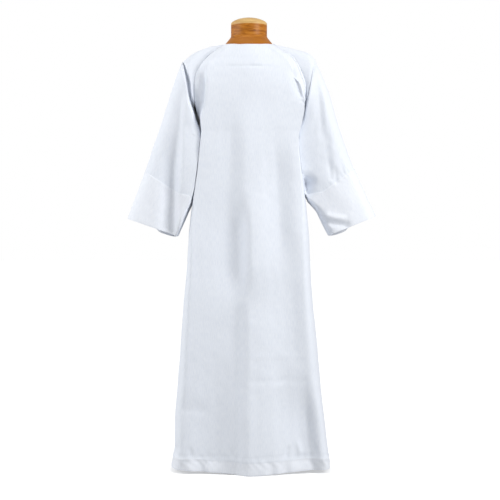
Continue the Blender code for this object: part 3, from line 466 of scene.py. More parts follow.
LEFT_CUFF_CREASES = (
    # The cuff's buckle, the fold above it and a soft ridge down to it.
    (0.228, 0.829, 0.338, 0.806, -0.005, 0.0085, 0.0112, -0.0105, 0.18, 0.22),
    (0.240, 0.847, 0.325, 0.828, -0.005, 0.0099, 0.0112, 0.0060, 0.25, 0.25),
    (0.315, 0.925, 0.351, 0.852, 0.000, 0.0164, 0.0197, 0.0015, 0.40, 0.40),
)

# Ripples too small for the tables: height, wavelength, slant from upright in radians, and phase.
RIPPLES = (
    (0.00035, 0.083, 0.10, 0.7),
    (0.00030, 0.051, -0.22, 2.1),
    (0.00022, 0.034, 0.35, 4.0),
    (0.00018, 0.023, -0.55, 5.2),
    (0.00030, 0.140, 1.35, 1.4),
    (0.00016, 0.047, 1.15, 3.3),
)

NECK_PROFILE = (  # radius and height down the outside of the neck block
    (0.0, 1.5000),
    (0.0180, 1.4990),
    (0.0350, 1.4955),
    (0.0490, 1.4900),
    (0.0570, 1.4850),
    (0.0600, 1.4800),
    (0.0600, 1.4400),
    (0.0612, 1.4350),
    (0.0690, 1.4240),
    (0.0790, 1.4110),
    (0.0830, 1.4020),
    (0.0780, 1.3960),
    (0.0700, 1.3943),
    (0.0, 1.3943),
)

# Cloth, as grids.


def smooth(at, knots, values):
    """The value at each place on a cubic through (knots, values) that never overshoots its knots."""
    rises = np.diff(values) / np.diff(knots)
    slopes = np.zeros(len(knots))
    slopes[0] = rises[0]
    slopes[-1] = rises[-1]
    before, after = rises[:-1], rises[1:]
    turning = before * after <= 0
    total = np.where(turning, 1.0, before + after)
    slopes[1:-1] = np.where(turning, 0.0, 2 * before * after / total)
    cell = np.clip(np.searchsorted(knots, at, side="right") - 1, 0, len(knots) - 2)
    width = knots[cell + 1] - knots[cell]
    t = (at - knots[cell]) / width
    return (
        values[cell] * (1 + 2 * t) * (1 - t) ** 2
        + slopes[cell] * width * t * (1 - t) ** 2
        + values[cell + 1] * t**2 * (3 - 2 * t)
        - slopes[cell + 1] * width * t**2 * (1 - t)
    )


def read(rows, columns, at):
    """Every column but the first, read from a table at these values of its first column."""
    table = np.array(rows)
    if table[0, 0] > table[-1, 0]:
        table = table[::-1]
    return {
        name: smooth(at, table[:, 0], table[:, i]) for i, name in enumerate(columns) if i
    }


def smoothstep(t):
    t = np.clip(t, 0.0, 1.0)
    return t * t * (3 - 2 * t)


def ramp(value, start, run):
    """0 up to the start, 1 from one run beyond it, and smooth between."""
    return smoothstep((value - start) / run)


def bell(t):
    return np.exp(-(t**2))


def fold_height(folds, x, z):
    """How far the solids' own folds lift the cloth: a bell across each sloping line."""
    lift = np.zeros_like(x)
    for top, x_top, bottom, x_bottom, half_width, depth in folds:
        line = x_top + (x_bottom - x_top) * (top - z) / (top - bottom)
        fade = smoothstep((top - z) / FOLD_FADE) * smoothstep((z - bottom) / FOLD_FADE)
        lift += depth * fade * bell((x - line) / half_width)
    return lift


def line_places(line, x, z):
    """How far along a bowed line each point lies, 0 to 1, and how far across it, in metres: above 0
    towards the wearer's left of a line that runs down, and above one that runs towards it."""
    x0, z0, x1, z1, bow = line
    length = math.hypot(x1 - x0, z1 - z0)
    along_x, along_z = (x1 - x0) / length, (z1 - z0) / length
    t = ((x - x0) * along_x + (z - z0) * along_z) / length
    d = -(x - x0) * along_z + (z - z0) * along_x
    return t, d - bow * 4 * t * (1 - t)


def crease_height(creases, x, z):
    """How far hand-placed creases lift the cloth: the depth times a bell of the distance across each line
    over that side's width, faded in and out along the line."""
    lift = np.zeros_like(x)
    for x0, z0, x1, z1, bow, width_right, width_left, depth, grow, die in creases:
        t, d = line_places((x0, z0, x1, z1, bow), x, z)
        fade = smoothstep(t / grow) * smoothstep((1 - t) / die)
        lift += depth * fade * bell(d / np.where(d < 0, width_right, width_left))
    return lift


def step_height(steps, x, z):
    """How far folds over lift the cloth: a smooth step of the distance across each line, which falls back
    to nothing on both sides, faded in and out along the line."""
    lift = np.zeros_like(x)
    for x0, z0, x1, z1, bow, width, height, low, back_right, back_left, grow, die in steps:
        t, d = line_places((x0, z0, x1, z1, bow), x, z)
        fade = smoothstep(t / grow) * smoothstep((1 - t) / die)
        rise = smoothstep(d / width + 0.5) - low
        away = np.where(d < 0, (-d - width / 2) / back_right, (d - width / 2) / back_left)
        lift += height * fade * rise * (1 - smoothstep(away))
    return lift


def ripple_height(x, z, turn=0.0):
    """Small waves in several directions, each bent a little by another, so that none looks ruled."""
    lift = np.zeros_like(x)
    for height, wavelength, slant, phase in RIPPLES:  # the odd shares keep the waves from lining up
        across = x * math.cos(slant + turn) + z * math.sin(slant + turn)
        along = z * math.cos(slant + turn) - x * math.sin(slant + turn)
        bend = 0.9 * np.sin(along / (wavelength * 0.61) + phase * 1.7)
        swell = 0.55 + 0.45 * np.sin(along / (wavelength * 1.9) + across / (wavelength * 3.1) + phase)
        lift += height * swell * np.sin(2 * math.pi * across / wavelength + phase + bend)
    return lift


def unit(vectors):
    return vectors / np.linalg.norm(vectors, axis=-1, keepdims=True)


def grid_normals(points, closed, inside):
    """A normal at each point of a grid, pointing away from the inside points."""
    down = np.gradient(points, axis=0)
    if closed:
        along = np.roll(points, -1, axis=1) - np.roll(points, 1, axis=1)
    else:
        along = np.gradient(points, axis=1)
    normals = unit(np.cross(down, along))
    return normals * np.sign(((points - inside) * normals).sum(axis=-1).mean())


def run_length(points, axis, closed=False):
    """The distance along a grid's rows or columns from their first point. A closed ring also has the
    distance back to its first point, as one more column."""
    if closed:
        points = np.concatenate([points, points[:, :1]], axis=1)
    steps = np.linalg.norm(np.diff(points, axis=axis), axis=-1)
    start = np.zeros_like(np.take(steps, [0], axis=axis))
    return np.concatenate([start, np.cumsum(steps, axis=axis)], axis=axis)


def panel(rows, folds, facing, heights, across):
    """A front's or back's points: across is -1 to 1 over the flat with a low crown, and beyond that a
    corner, a quadratic Bezier from the flat's edge to the seam. facing is -1 for a front, 1 for a back."""
    row = {name: value[:, None] for name, value in read(rows, PANEL_COLUMNS, heights).items()}
    u = across[None, :]
    flat = np.clip(u, -1, 1)
    edge = np.where(u < 0, row["edge_right"], row["edge_left"])
    seam = np.where(u < 0, row["seam_right"], row["seam_left"])
    edge_depth = row["middle"] - row["crown"]
    t = np.clip(np.abs(u) - 1, 0, 1)
    knee_x = (edge + seam) / 2 + (seam - edge) / 2 * row["bulge"]
    knee_depth = (edge_depth + row["seam_depth"]) / 2 * (1 - row["bulge"]) + edge_depth * row["bulge"]
    in_flat = np.abs(u) <= 1
    x = np.sign(u) * np.where(
        in_flat,
        np.abs(flat) * edge,
        (1 - t) ** 2 * edge + 2 * t * (1 - t) * knee_x + t**2 * seam,
    )
    depth = np.where(
        in_flat,
        row["middle"] - row["crown"] * smoothstep(np.abs(flat)),
        (1 - t) ** 2 * edge_depth + 2 * t * (1 - t) * knee_depth + t**2 * row["seam_depth"],
    )
    sharper = np.where(heights < KNEE, 2, 1)[:, None]
    z = heights[:, None] - row["dip"] * (1 - np.minimum(np.abs(x) / seam, 1) ** 2) ** sharper
    loose = smoothstep((2 - np.abs(u)) / SEAM_HOLD)
    depth = depth + loose * fold_height(folds, x, z)
    return np.stack([x, facing * depth, z], axis=-1)


def raglan_loop(side, places):
    """Points of the closed seam round one sleeve's top. A place of 0 is the underarm, up to SHOULDER_ROWS
    runs up the front, the next NECK_CELLS round the neck, and the rest down the back."""
    ends = np.array([2.0 * side])
    knots = np.arange(SHOULDER_ROWS + 1, dtype=float)
    front_table = np.array([row[0] for row in FRONT_ROWS[: SHOULDER_ROWS + 1]])
    back_table = np.array([row[0] for row in BACK_ROWS[: SHOULDER_ROWS + 1]])
    front_height = smooth(np.clip(places, 0, SHOULDER_ROWS), knots, front_table[::-1])
    down = np.clip(places - SHOULDER_ROWS - NECK_CELLS, 0, SHOULDER_ROWS)
    back_height = smooth(down, knots, back_table)
    front = panel(FRONT_ROWS, (), -1, front_height, ends)[:, 0]
    back = panel(BACK_ROWS, (), 1, back_height, ends)[:, 0]
    share = np.clip((places - SHOULDER_ROWS) / NECK_CELLS, 0, 1)
    angle = np.radians(FRONT_CORNER + (BACK_CORNER - FRONT_CORNER) * share)
    rise = front_table[0] + (back_table[0] - front_table[0]) * share
    neck = np.stack([side * NECK_LOOP * np.sin(angle), -NECK_LOOP * np.cos(angle), rise], axis=-1)
    on_front = (places <= SHOULDER_ROWS)[:, None]
    on_back = (places >= SHOULDER_ROWS + NECK_CELLS)[:, None]
    return np.where(on_front, front, np.where(on_back, back, neck))


def ring_angles(places):
    """The angle of each place round a sleeve: 180 degrees inside, 90 in front, 0 outside, -90 behind."""
    even = np.pi * (1 - 2 * places / (2 * SHOULDER_ROWS + NECK_CELLS))
    size = np.abs(even)
    crowding = RING_CROWDING * smoothstep(size / CROWDING_FADE)
    crowding *= smoothstep((np.pi - size) / CROWDING_FADE)
    return np.sign(even) * (size - crowding)


def body_side(name, y, z):
    """How far the robe's body reaches sideways at this depth, between its underarm and its waist: its
    corner there is a quadratic Bezier whose knee is square, so the curve's parameter is a square root."""
    sides = []
    for rows, depth in ((FRONT_ROWS, -y), (BACK_ROWS, y)):
        row = read(rows, PANEL_COLUMNS, z)
        share = np.clip(np.maximum(depth, 0.0) / (row["middle"] - row["crown"]), 0, 1)
        seam, edge = row["seam_" + name], row["edge_" + name]
        sides.append(seam - (seam - edge) * (1 - np.sqrt(1 - share)) ** 2)
    return np.minimum(*sides)


def sleeve_tube(rings, back_folds, slot, side, places, angle):
    """Rings of a sleeve. Each leans so that it passes through its outer and its inner point. It is oval on
    its outer half and squarer on its inner half, which lies against the robe's body where it meets it."""
    numbered = [(float(i),) + row for i, row in enumerate(rings)]
    row = {
        name: value[:, None]
        for name, value in read(numbered, ("place",) + RING_COLUMNS, places).items()
    }
    cos, sin = np.cos(angle)[None, :], np.sin(angle)[None, :]
    lower = ramp(places, *LOWER_PLACES)[:, None]  # 0 at the armhole, 1 in the sleeve's lower half
    squarer = smoothstep(places / TOP_PLACES + slot["square_top"])[:, None] * smoothstep(-cos / SIDE_COS)
    square_top, square_low = slot["squareness"]
    power = 1 - (square_top + (square_low - square_top) * lower) * squarer
    further = ramp(places, *OUTER_PLACES)[:, None]
    power = power - slot["outer_squareness"] * smoothstep(cos / SIDE_COS) * further
    cos = np.sign(cos) * np.abs(cos) ** power
    sin_flat = np.sign(sin) * np.abs(sin) ** power
    x = (row["outer"] + row["inner"]) / 2 + (row["outer"] - row["inner"]) / 2 * cos
    z = (row["outer_height"] + row["inner_height"]) / 2
    z = z + (row["outer_height"] - row["inner_height"]) / 2 * cos
    lift_back = fold_height(back_folds, side * x, z) * smoothstep(-sin / SIDE_HOLD)
    fuller = FRONT_FULLNESS * np.clip(sin_flat, 0, 1)
    shift = slot["lean"] * smoothstep((slot["lean_start"] - cos) / LEAN_COS)
    shift = shift + slot["low_lean"] * ramp(-cos, INNER_COS, LOW_LEAN_COS)
    x = x - shift * (1 - smoothstep(places / TOP_PLACES))[:, None] * (sin > 0)
    behind = np.clip(-sin, 0, 1) * smoothstep(-cos / BEHIND_COS)
    x = x + INNER_TUCK * ramp(places, *TUCK_PLACES)[:, None] * behind
    z = z - MOUTH_DROP * ramp(places, *DROP_PLACES)[:, None] * behind
    y = -row["forward"] - row["half_depth"] * sin_flat - fuller + lift_back
    beside = body_side("right" if side < 0 else "left", y, z) + BODY_CLEARANCE
    near = smoothstep((UNDERARM - TOUCH_START - z) / TOUCH_GROWTH) * ramp(z, TOUCH_END, TOUCH_FADE)
    x = x + (beside - x) * (near * ramp(-cos, INNER_COS, TOUCH_COS))
    return np.stack([side * x_outside(x, z, beside), y, z], axis=-1)


def x_outside(x, z, beside):
    """A sleeve's distance from the middle, kept outside the robe's side below the underarm."""
    under = (z < UNDERARM - CLEAR_START) & (z > CLEAR_END)
    return np.where(under, np.maximum(x, beside), x)


def sleeve_cap(cap, slot, loop, fold, angle, along, side):
    """The cloth over the shoulder, between the raglan seam's loop and the fold over the armhole: straight
    from one to the other, lifted over the shoulder, and sunk into a narrow slot in front of the fold. The
    slot's width is measured square to the fold, and it leans outwards under it."""
    table = np.array([(0.0, 0.0, 0.0), *cap, (1.0, 0.0, 0.0)])
    a = along[:, None]
    lift = smooth(a, table[:, 0], table[:, 1])
    valley = smooth(a, table[:, 0], table[:, 2])
    sin, cos = np.sin(angle)[None, :], np.cos(angle)[None, :]
    turn = np.abs(np.degrees(angle))[None, :]
    shown = slot_share(slot, angle)
    width = np.interp(turn, slot["turns"], slot["widths"])
    ahead = fold[angle.argmin()] - fold[np.abs(angle).argmin()]
    ahead = ahead / np.hypot(ahead[0], ahead[2])
    reach = np.abs((fold[:, 0] - loop[:, 0]) * ahead[2] - (fold[:, 2] - loop[:, 2]) * ahead[0])
    distance = (1 - a) * reach[None, :]
    trench = smoothstep((width - distance) / slot["inner_run"] + 1) * smoothstep(distance / slot["outer_run"])
    trench = trench * shown
    behind = np.where(sin < 0, sin**2 * smoothstep((cos + 1) / UNDERARM_HOLD), 0.0)
    points = (1 - a[..., None]) * loop[None] + a[..., None] * fold[None]
    points[..., 2] += lift * np.clip(cos, 0, 1) ** CAP_ROUNDING
    points[..., 1] += slot["depth"] * trench - behind * BACK_VALLEY * valley
    points[..., 0] += side * slot["under"] * trench
    return points


def slot_share(slot, angle):
    """How open the slot is at each angle round the sleeve: 0 behind, over the top and under the arm."""
    turn = np.abs(np.degrees(angle))[None, :]
    share = ramp(turn, slot["top"], slot["top_run"])
    share = share * smoothstep((slot["bottom"] - turn) / slot["bottom_run"])
    return np.where(np.sin(angle)[None, :] > 0, share, 0.0)


def lip(distance, radius):
    """How far a rounded fold or edge falls back: a quarter circle over its radius."""
    t = np.clip(distance / radius, 0, 1)
    return radius * (1 - np.sqrt(np.clip(1 - (1 - t) ** 2, 0, 1)))


def side_distance(points):
    """The distance along each row from its right end, and from its left end."""
    run = run_length(points, 1)
    return run, run[:, -1:] - run


def felled_seam(distance, height, width):
    """The ridge over a felled allowance, at its distance from the seam, and the groove along the seam."""
    return height * (bell((distance - FELL_RIDGE) / width) - GROOVE_SHARE * bell(distance / SEAM_GROOVE))


def uneven_wave(run, length, bend, bend_length, phase=0.0, bend_run=None):
    """A wave along a seam, bent by a longer one so that its gathers don't look ruled."""
    if bend_run is None:
        bend_run = run
    return np.sin(run / length + bend * np.sin(bend_run / bend_length) + phase)


def grid_quads(number):
    """The corners of each cell of a grid of point numbers, in order round it."""
    corners = [number[:-1, :-1], number[:-1, 1:], number[1:, 1:], number[1:, :-1]]
    return np.stack(corners, axis=-1).reshape(-1, 4)


def lay_cloth(name, outer, normals, thickness, closed, weave, material):
    """A closed thin wall: the outer grid, the same grid one thickness inwards, and rims along the open
    edges. The UV map is in metres: distance along each row from its middle, and down the middle column."""
    rows, columns = outer.shape[:2]
    count = rows * columns
    inner = outer - normals * thickness
    points = np.concatenate([outer.reshape(-1, 3), inner.reshape(-1, 3)])
    number = np.arange(count).reshape(rows, columns)
    ring = np.concatenate([number, number[:, :1]], axis=1) if closed else number
    quads = grid_quads(ring)
    along = points[quads[:, 1]] - points[quads[:, 0]]
    down = points[quads[:, 3]] - points[quads[:, 0]]
    facing = (np.cross(along, down) * normals.reshape(-1, 3)[quads[:, 0]]).sum(axis=-1).mean()
    faces = [quads, quads[:, ::-1] + count]
    grid = np.arange(weave.shape[0] * weave.shape[1]).reshape(weave.shape[:2])
    corners = grid_quads(grid)
    maps = [corners, corners[:, ::-1]]
    edges = [(ring[0, 1:], ring[0, :-1], grid[0, 1:], grid[0, :-1]),
             (ring[-1, :-1], ring[-1, 1:], grid[-1, :-1], grid[-1, 1:])]
    if not closed:
        edges += [(ring[:-1, 0], ring[1:, 0], grid[:-1, 0], grid[1:, 0]),
                  (ring[1:, -1], ring[:-1, -1], grid[1:, -1], grid[:-1, -1])]
    for start, stop, map_start, map_stop in edges:
        faces.append(np.stack([start, stop, stop + count, start + count], axis=-1))
        maps.append(np.stack([map_start, map_stop, map_stop, map_start], axis=-1))
    faces, maps = np.concatenate(faces), np.concatenate(maps)
    if facing < 0:
        faces, maps = faces[:, ::-1], maps[:, ::-1]
    return lay_mesh(name, points, faces.tolist(), material, weave.reshape(-1, 2)[maps.reshape(-1)])


def lay_mesh(name, points, faces, material, weave=None):
    """A mesh object from an array of points and a list of faces, with the material of this name."""
    mesh = bpy.data.meshes.new(name)
    mesh.from_pydata(points.tolist(), [], faces)
    if weave is not None:
        mesh.uv_layers.new(name="weave").uv.foreach_set("vector", weave.reshape(-1))
    mesh.shade_smooth()
    mesh.set_sharp_from_angle(angle=math.radians(SHARP_EDGE))
    mesh.materials.append(bpy.data.materials[material])
    piece = bpy.data.objects.new(name, mesh)
    bpy.context.scene.collection.objects.link(piece)
    return piece


def sew_row(path, normals, sizes):
    """Points and faces of a row of stitches along a path. Each is a thread that rises out of the cloth and
    goes back into it: three cross-sections of three points, the middle one standing proud."""
    length = np.concatenate([[0.0], np.cumsum(np.linalg.norm(np.diff(path, axis=0), axis=-1))])
    count = max(int(length[-1] / sizes.stitch_pitch), 2)
    middle = (np.arange(count) + 0.5) * length[-1] / count
    half = sizes.stitch_pitch * STITCH_SHARE
    stations = middle[:, None] + half * np.array([-1.0, 0.0, 1.0])[None, :]
    place = np.stack([np.interp(stations, length, path[:, i]) for i in range(3)], axis=-1)
    up = unit(np.stack([np.interp(stations, length, normals[:, i]) for i in range(3)], axis=-1))
    ahead = unit(place[:, 2:] - place[:, :1])
    aside = unit(np.cross(ahead, up))
    # In thread thicknesses: the sections' rise, and the points' places across and down the thread.
    rise = np.array([-0.3, 0.75, -0.3])[None, :, None, None] * sizes.stitch_thread
    across = np.array([-0.5, 0.0, 0.5])[None, None, :, None] * sizes.stitch_thread
    crown = np.array([-0.45, 0.0, -0.45])[None, None, :, None] * sizes.stitch_thread
    points = place[:, :, None] + up[:, :, None] * (rise + crown) + aside[:, :, None] * across
    # A stitch's nine points make four faces on top and two below.
    cell = np.array([(0, 1, 4, 3), (1, 2, 5, 4), (3, 4, 7, 6), (4, 5, 8, 7), (2, 0, 3, 5), (5, 3, 6, 8)])
    faces = (cell[None] + 9 * np.arange(count)[:, None, None]).reshape(-1, 4)
    return points.reshape(-1, 3), faces


def sew(name, rows, sizes):
    """One piece of stitching from several (path, normals) rows."""
    parts = [sew_row(path, normals, sizes) for path, normals in rows]
    starts = np.cumsum([0] + [len(points) for points, _ in parts[:-1]])
    points = np.concatenate([points for points, _ in parts])
    faces = np.concatenate([faces + start for (_, faces), start in zip(parts, starts)])
    piece = lay_mesh(name, points, faces.tolist(), "spun_polyester_thread")
    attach(piece, BODY)
    return piece


def panel_across():
    """Places across a panel, closer together towards its seams."""
    corner = 1 - (1 - np.linspace(0, 1, CORNER_CELLS + 1)) ** CORNER_CROWDING
    flat = np.linspace(-1, 1, FLAT_CELLS + 1)
    return np.concatenate([-1 - corner[:0:-1], flat, 1 + corner[1:]])


def panel_cloth(rows, folds, creases, steps, facing, sizes):
    """A whole panel from the neck to the hem's edge: the solids' surface, with creases, ripples and seam
    allowances raised along its normals. Returns the points, the normals and the row where the hem is sewn."""
    top = rows[0][0]
    down = np.linspace(0, 1, SHOULDER_CELLS + 1) ** SHOULDER_CROWDING
    shoulder = top - (top - UNDERARM) * down
    skirt = np.linspace(UNDERARM, HEM_SEAM, SKIRT_CELLS + 1)[1:]
    hem = np.linspace(HEM_SEAM, HEM_EDGE, HEM_CELLS + 1)[1:]
    heights = np.concatenate([shoulder, skirt, hem])
    base = panel(rows, folds, facing, heights, panel_across())
    inside = base * np.array([0.0, 0.0, 1.0])
    normals = grid_normals(base, False, inside)
    x, z = base[..., 0], base[..., 2]
    seam = np.minimum(*side_distance(base))
    free = smoothstep(seam / SEAM_FREE)
    lift = sizes.crease_strength * crease_height(creases, x, z) * free
    forward = sizes.crease_strength * step_height(steps, x, z) * free
    lift += sizes.ripple_strength * ripple_height(x, z, PANEL_RIPPLE_TURN * facing) * free

    above = ramp(z, UNDERARM, FELL_FADE)
    raglan_share = np.where(x < 0, RIGHT_SEAM_SHARE, LEFT_SEAM_SHARE)
    lift += felled_seam(seam, *PANEL_FELL) * (SIDE_SEAM_SHARE + raglan_share * above)
    height, start, growth, reach = SEAM_GATHER
    gather = ramp(seam, start, growth) * bell(seam / reach)
    lift += gather * height * uneven_wave(z, *SEAM_WAVE, phase=SEAM_PHASE * np.sign(x))

    below = z - HEM_SEAM
    height, middle, width = HEM_ROPING
    roping = uneven_wave(x + ROPING_SLANT * z, *ROPING_WAVE, bend_run=x)
    swell_length, swell_start = ROPING_SWELL
    swell = 0.5 + 0.5 * np.sin(x / swell_length + swell_start + facing)
    lift += height * swell * roping * bell((below - middle) / width) * free
    for height, middle, width in (HEM_GROOVE, HEM_RIDGE):
        lift += height * bell((below - middle) / width)
    height, middle, width = HEM_PUCKERS
    lift += height * uneven_wave(x, *HEM_WAVE) * bell((below - middle) / width) * free

    points = base + normals * lift[..., None]
    knots, kicks = np.array(HEM_KICKS[facing]).T
    kick = smooth(np.clip(x, knots[0], knots[-1]), knots, kicks)
    forward = forward + kick * smoothstep((HEM_SEAM - z) / (HEM_SEAM - HEM_EDGE)) * free
    points[..., 1] += facing * forward
    points[:, [0, -1]] = base[:, [0, -1]]
    normals = grid_normals(points, False, inside)
    for from_edge, rounding in ((np.abs(top - heights), NECK_ROUNDING), (heights - HEM_EDGE, EDGE_ROUNDING)):
        points = points - normals * (EDGE_SHARE * lip(from_edge, rounding))[:, None, None]
    return points, normals, SHOULDER_CELLS + SKIRT_CELLS


def weave_map(points, closed):
    """UV in metres: along each row from its middle, which on a sleeve is its outermost point, and down the
    middle column."""
    run = run_length(points, 1, closed)
    middle = points.shape[1] // 2
    across = run - run[:, middle : middle + 1]
    down = run_length(points[:, middle : middle + 1], 0)
    return np.stack([across, np.broadcast_to(down, across.shape)], axis=-1)


def dress(piece, nodes):
    """The piece rides on the form and stands for these solids, which are hidden."""
    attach(piece, BODY)
    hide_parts(*nodes)


def make_panel(wearer, rows, folds, creases, steps, facing, sizes):
    """A front or a back with its hem band and its stitching."""
    points, normals, cut = panel_cloth(rows, folds, creases, steps, facing, sizes)
    weave = weave_map(points, False)
    points[:, 0, 1] += facing * SIDE_GAP
    points[:, -1, 1] += facing * SIDE_GAP
    upper, band = points[: cut + 1].copy(), points[cut:].copy()
    upper[-1, :, 2] += BAND_GAP
    band[0, :, 2] -= BAND_GAP
    below_neck = np.abs(points[:1, :, 2] - points[: cut + 1, :, 2])
    turned = 1 - ramp(below_neck, TURNED_EDGE, TURNED_FADE)
    thickness = sizes.cloth_thickness * (1 + TURNED_EXTRA * turned)
    cloth = lay_cloth(
        wearer + "_cloth", upper, normals[: cut + 1], thickness[..., None], False, weave[: cut + 1],
        "polycotton_plain_weave",
    )
    dress(cloth, [wearer])
    level = unit(normals[cut:] * np.array([1.0, 1.0, 0.0]))
    hem = lay_cloth(
        wearer + "_hem_band", band, level, sizes.double_thickness, False, weave[cut:],
        "polycotton_two_layers",
    )
    dress(hem, ["hem_" + wearer])
    across = slice(HEM_STITCH_ENDS, -HEM_STITCH_ENDS)
    hem_row = cut - HEM_STITCH_ROW
    thread_rows = [(points[hem_row, across], normals[hem_row, across])]
    down = slice(SEAM_STITCH_START, SHOULDER_CELLS - SEAM_STITCH_END)
    near = SEAM_STITCH_COLUMNS[facing]
    thread_rows += [(points[down, column], normals[down, column]) for column in (near, -1 - near)]
    if facing < 0:
        middle = points[:, points.shape[1] // 2, 2]
        row = int(np.argmin(np.abs(np.abs(middle[0] - middle) - NECK_STITCHES)))
        across = slice(NECK_STITCH_ENDS, -NECK_STITCH_ENDS)
        thread_rows.append((points[row, across], normals[row, across]))
    stitching = sew(wearer + "_stitching", thread_rows, sizes)
    return cloth, hem, stitching, points, normals


def sleeve_base(cap, slot, rings, back_folds, side, tube_places, places, angle):
    """A plain sleeve's grid: the cap over the shoulder, then the tube down to the cuff's edge, smoothed into
    each other away from the slot. Returns it with the row where the tube starts."""
    loop = raglan_loop(side, places)
    tube = sleeve_tube(rings, back_folds, slot, side, tube_places, angle)
    along = np.concatenate([
        np.linspace(0, 0.1, SEAM_CELLS + 1), np.linspace(0.1, 0.5, INNER_CAP_CELLS + 1)[1:],
        np.linspace(0.5, 1, OUTER_CAP_CELLS + 1)[1:-1],
    ])
    shown = slot_share(slot, angle)
    crown = sleeve_cap(cap, slot, loop, tube[0], angle, along, side)
    points = np.concatenate([crown, tube])
    joint = len(crown)
    first, last = joint - SETTLED_ROWS, joint + SETTLED_ROWS
    settled = points.copy()
    for _ in range(ARMHOLE_SETTLING):
        pull = 0.5 * (settled[first - 1 : last - 1] + settled[first + 1 : last + 1]) - settled[first:last]
        settled[first:last] = settled[first:last] + 0.5 * pull
    return settled * (1 - shown[..., None]) + points * shown[..., None], joint


def sleeve_points(cap, slot, rings, back_folds, creases, back_creases, steps, side, sizes):
    """A whole sleeve's grid, from the raglan seam over the shoulder and down to the cuff's edge, with
    creases, ripples, seams and gathers raised on it. Returns the points, the sleeve's axis beside each of
    them and the row where the cuff is sewn."""
    places = np.arange(RING_CELLS) * (2 * SHOULDER_ROWS + NECK_CELLS) / RING_CELLS
    angle = ring_angles(places)
    sin, cos = np.sin(angle)[None, :], np.cos(angle)[None, :]
    tube_places = np.concatenate([
        LIP_STARTS, np.linspace(LIP_PLACES, CUFF_RING, SLEEVE_CELLS - len(LIP_STARTS) + 1),
        CUFF_RING + (LAST_RING - CUFF_RING) * np.linspace(0, 1, CUFF_CELLS + 1)[1:],
    ])
    points, joint = sleeve_base(cap, slot, rings, back_folds, side, tube_places, places, angle)
    axis = np.broadcast_to(points.mean(axis=1, keepdims=True), points.shape)
    normals = grid_normals(points, True, axis)

    x, z = points[..., 0], points[..., 2]
    front = smoothstep(sin / FACE_EDGE)
    behind = smoothstep(-sin / FACE_EDGE)
    on_tube = np.concatenate([np.zeros(joint), ramp(tube_places, *CREASE_PLACES)])[:, None]
    forward = sizes.crease_strength * on_tube * (
        front * (crease_height(creases, x, z) + step_height(steps, x, z))
        - behind * crease_height(back_creases, x, z)
    )
    front_turn, back_turn = SLEEVE_RIPPLE_TURNS
    lift = sizes.ripple_strength * on_tube * (
        front * ripple_height(x, z, front_turn) + behind * ripple_height(x, z, back_turn)
    )

    run = run_length(points, 0)
    felled = felled_seam(run, *SLEEVE_FELL) * (1.0 if side > 0 else RIGHT_FELL_SHARE)
    lift += np.where(np.arange(len(points))[:, None] < joint, felled, 0.0)
    opened = slot["opening"] * np.clip(sin, 0, 1) ** 0.5 * ramp(cos, *OPENING_COS)
    lift -= opened * bell(run / OPENING_WIDTH)

    cuff_row = joint + SLEEVE_CELLS
    beyond = run - run[cuff_row : cuff_row + 1]
    around = run_length(points, 1, closed=True)[:, :-1]
    mean, swing, swing_length = CUFF_SWELL
    waves = uneven_wave(around, *CUFF_WAVE) * (mean + swing * np.sin(around / swing_length))
    for (height, middle, width), there in ((CUFF_PUCKERS, beyond < 0), (BAND_PUCKERS, beyond >= 0)):
        lift += height * waves * bell((beyond - middle) / width) * there
    proud = CUFF_RISE - lip(np.maximum(beyond, 0.0), CUFF_RISE)
    depth, width = CUFF_GROOVE
    lift += np.where(beyond >= 0, proud, -depth * bell(beyond / width))

    fallen = lip(np.concatenate([np.full(joint, LIP_PLACES), tube_places])[:, None], LIP_PLACES)
    lift -= slot_share(slot, angle) * (LIP_RADIUS / LIP_PLACES) * fallen
    lift -= EDGE_SHARE * lip(run[-1:] - run, EDGE_ROUNDING)
    points = points + normals * lift[..., None]
    points[..., 1] -= forward
    if side > 0:
        x, y, z = points[joint:].transpose(2, 0, 1)
        points[joint:, :, 0] = x_outside(x, z, body_side("left", y, z) + BODY_CLEARANCE)
    return points, axis, cuff_row


def make_sleeve(wearer, side, cap, slot, rings, back_folds, creases, back_creases, steps, sizes):
    """A sleeve, its cuff and their stitching."""
    points, axis, cut = sleeve_points(
        cap, slot, rings, back_folds, creases, back_creases, steps, side, sizes
    )
    normals = grid_normals(points, True, axis)
    weave = weave_map(points, True)
    upper, band = points[: cut + 1].copy(), points[cut:].copy()
    band[0] = (1 - CUFF_START) * band[0] + CUFF_START * band[1]
    cloth = lay_cloth(
        wearer + "_sleeve_cloth", upper, normals[: cut + 1], sizes.cloth_thickness, True,
        weave[: cut + 1], "polycotton_plain_weave",
    )
    dress(cloth, ["sleeve_" + wearer])
    cuff = lay_cloth(
        wearer + "_cuff_band", band, normals[cut:], sizes.double_thickness, True, weave[cut:],
        "polycotton_two_layers",
    )
    dress(cuff, ["cuff_" + wearer])
    rows = [
        [np.concatenate([grid[row], grid[row, :1]]) for grid in (points, normals)]
        for row in (cut + CUFF_STITCH_ROW, len(points) - MOUTH_STITCH_ROW)
    ]
    stitching = sew(wearer + "_cuff_stitching", rows, sizes)
    return cloth, cuff, stitching


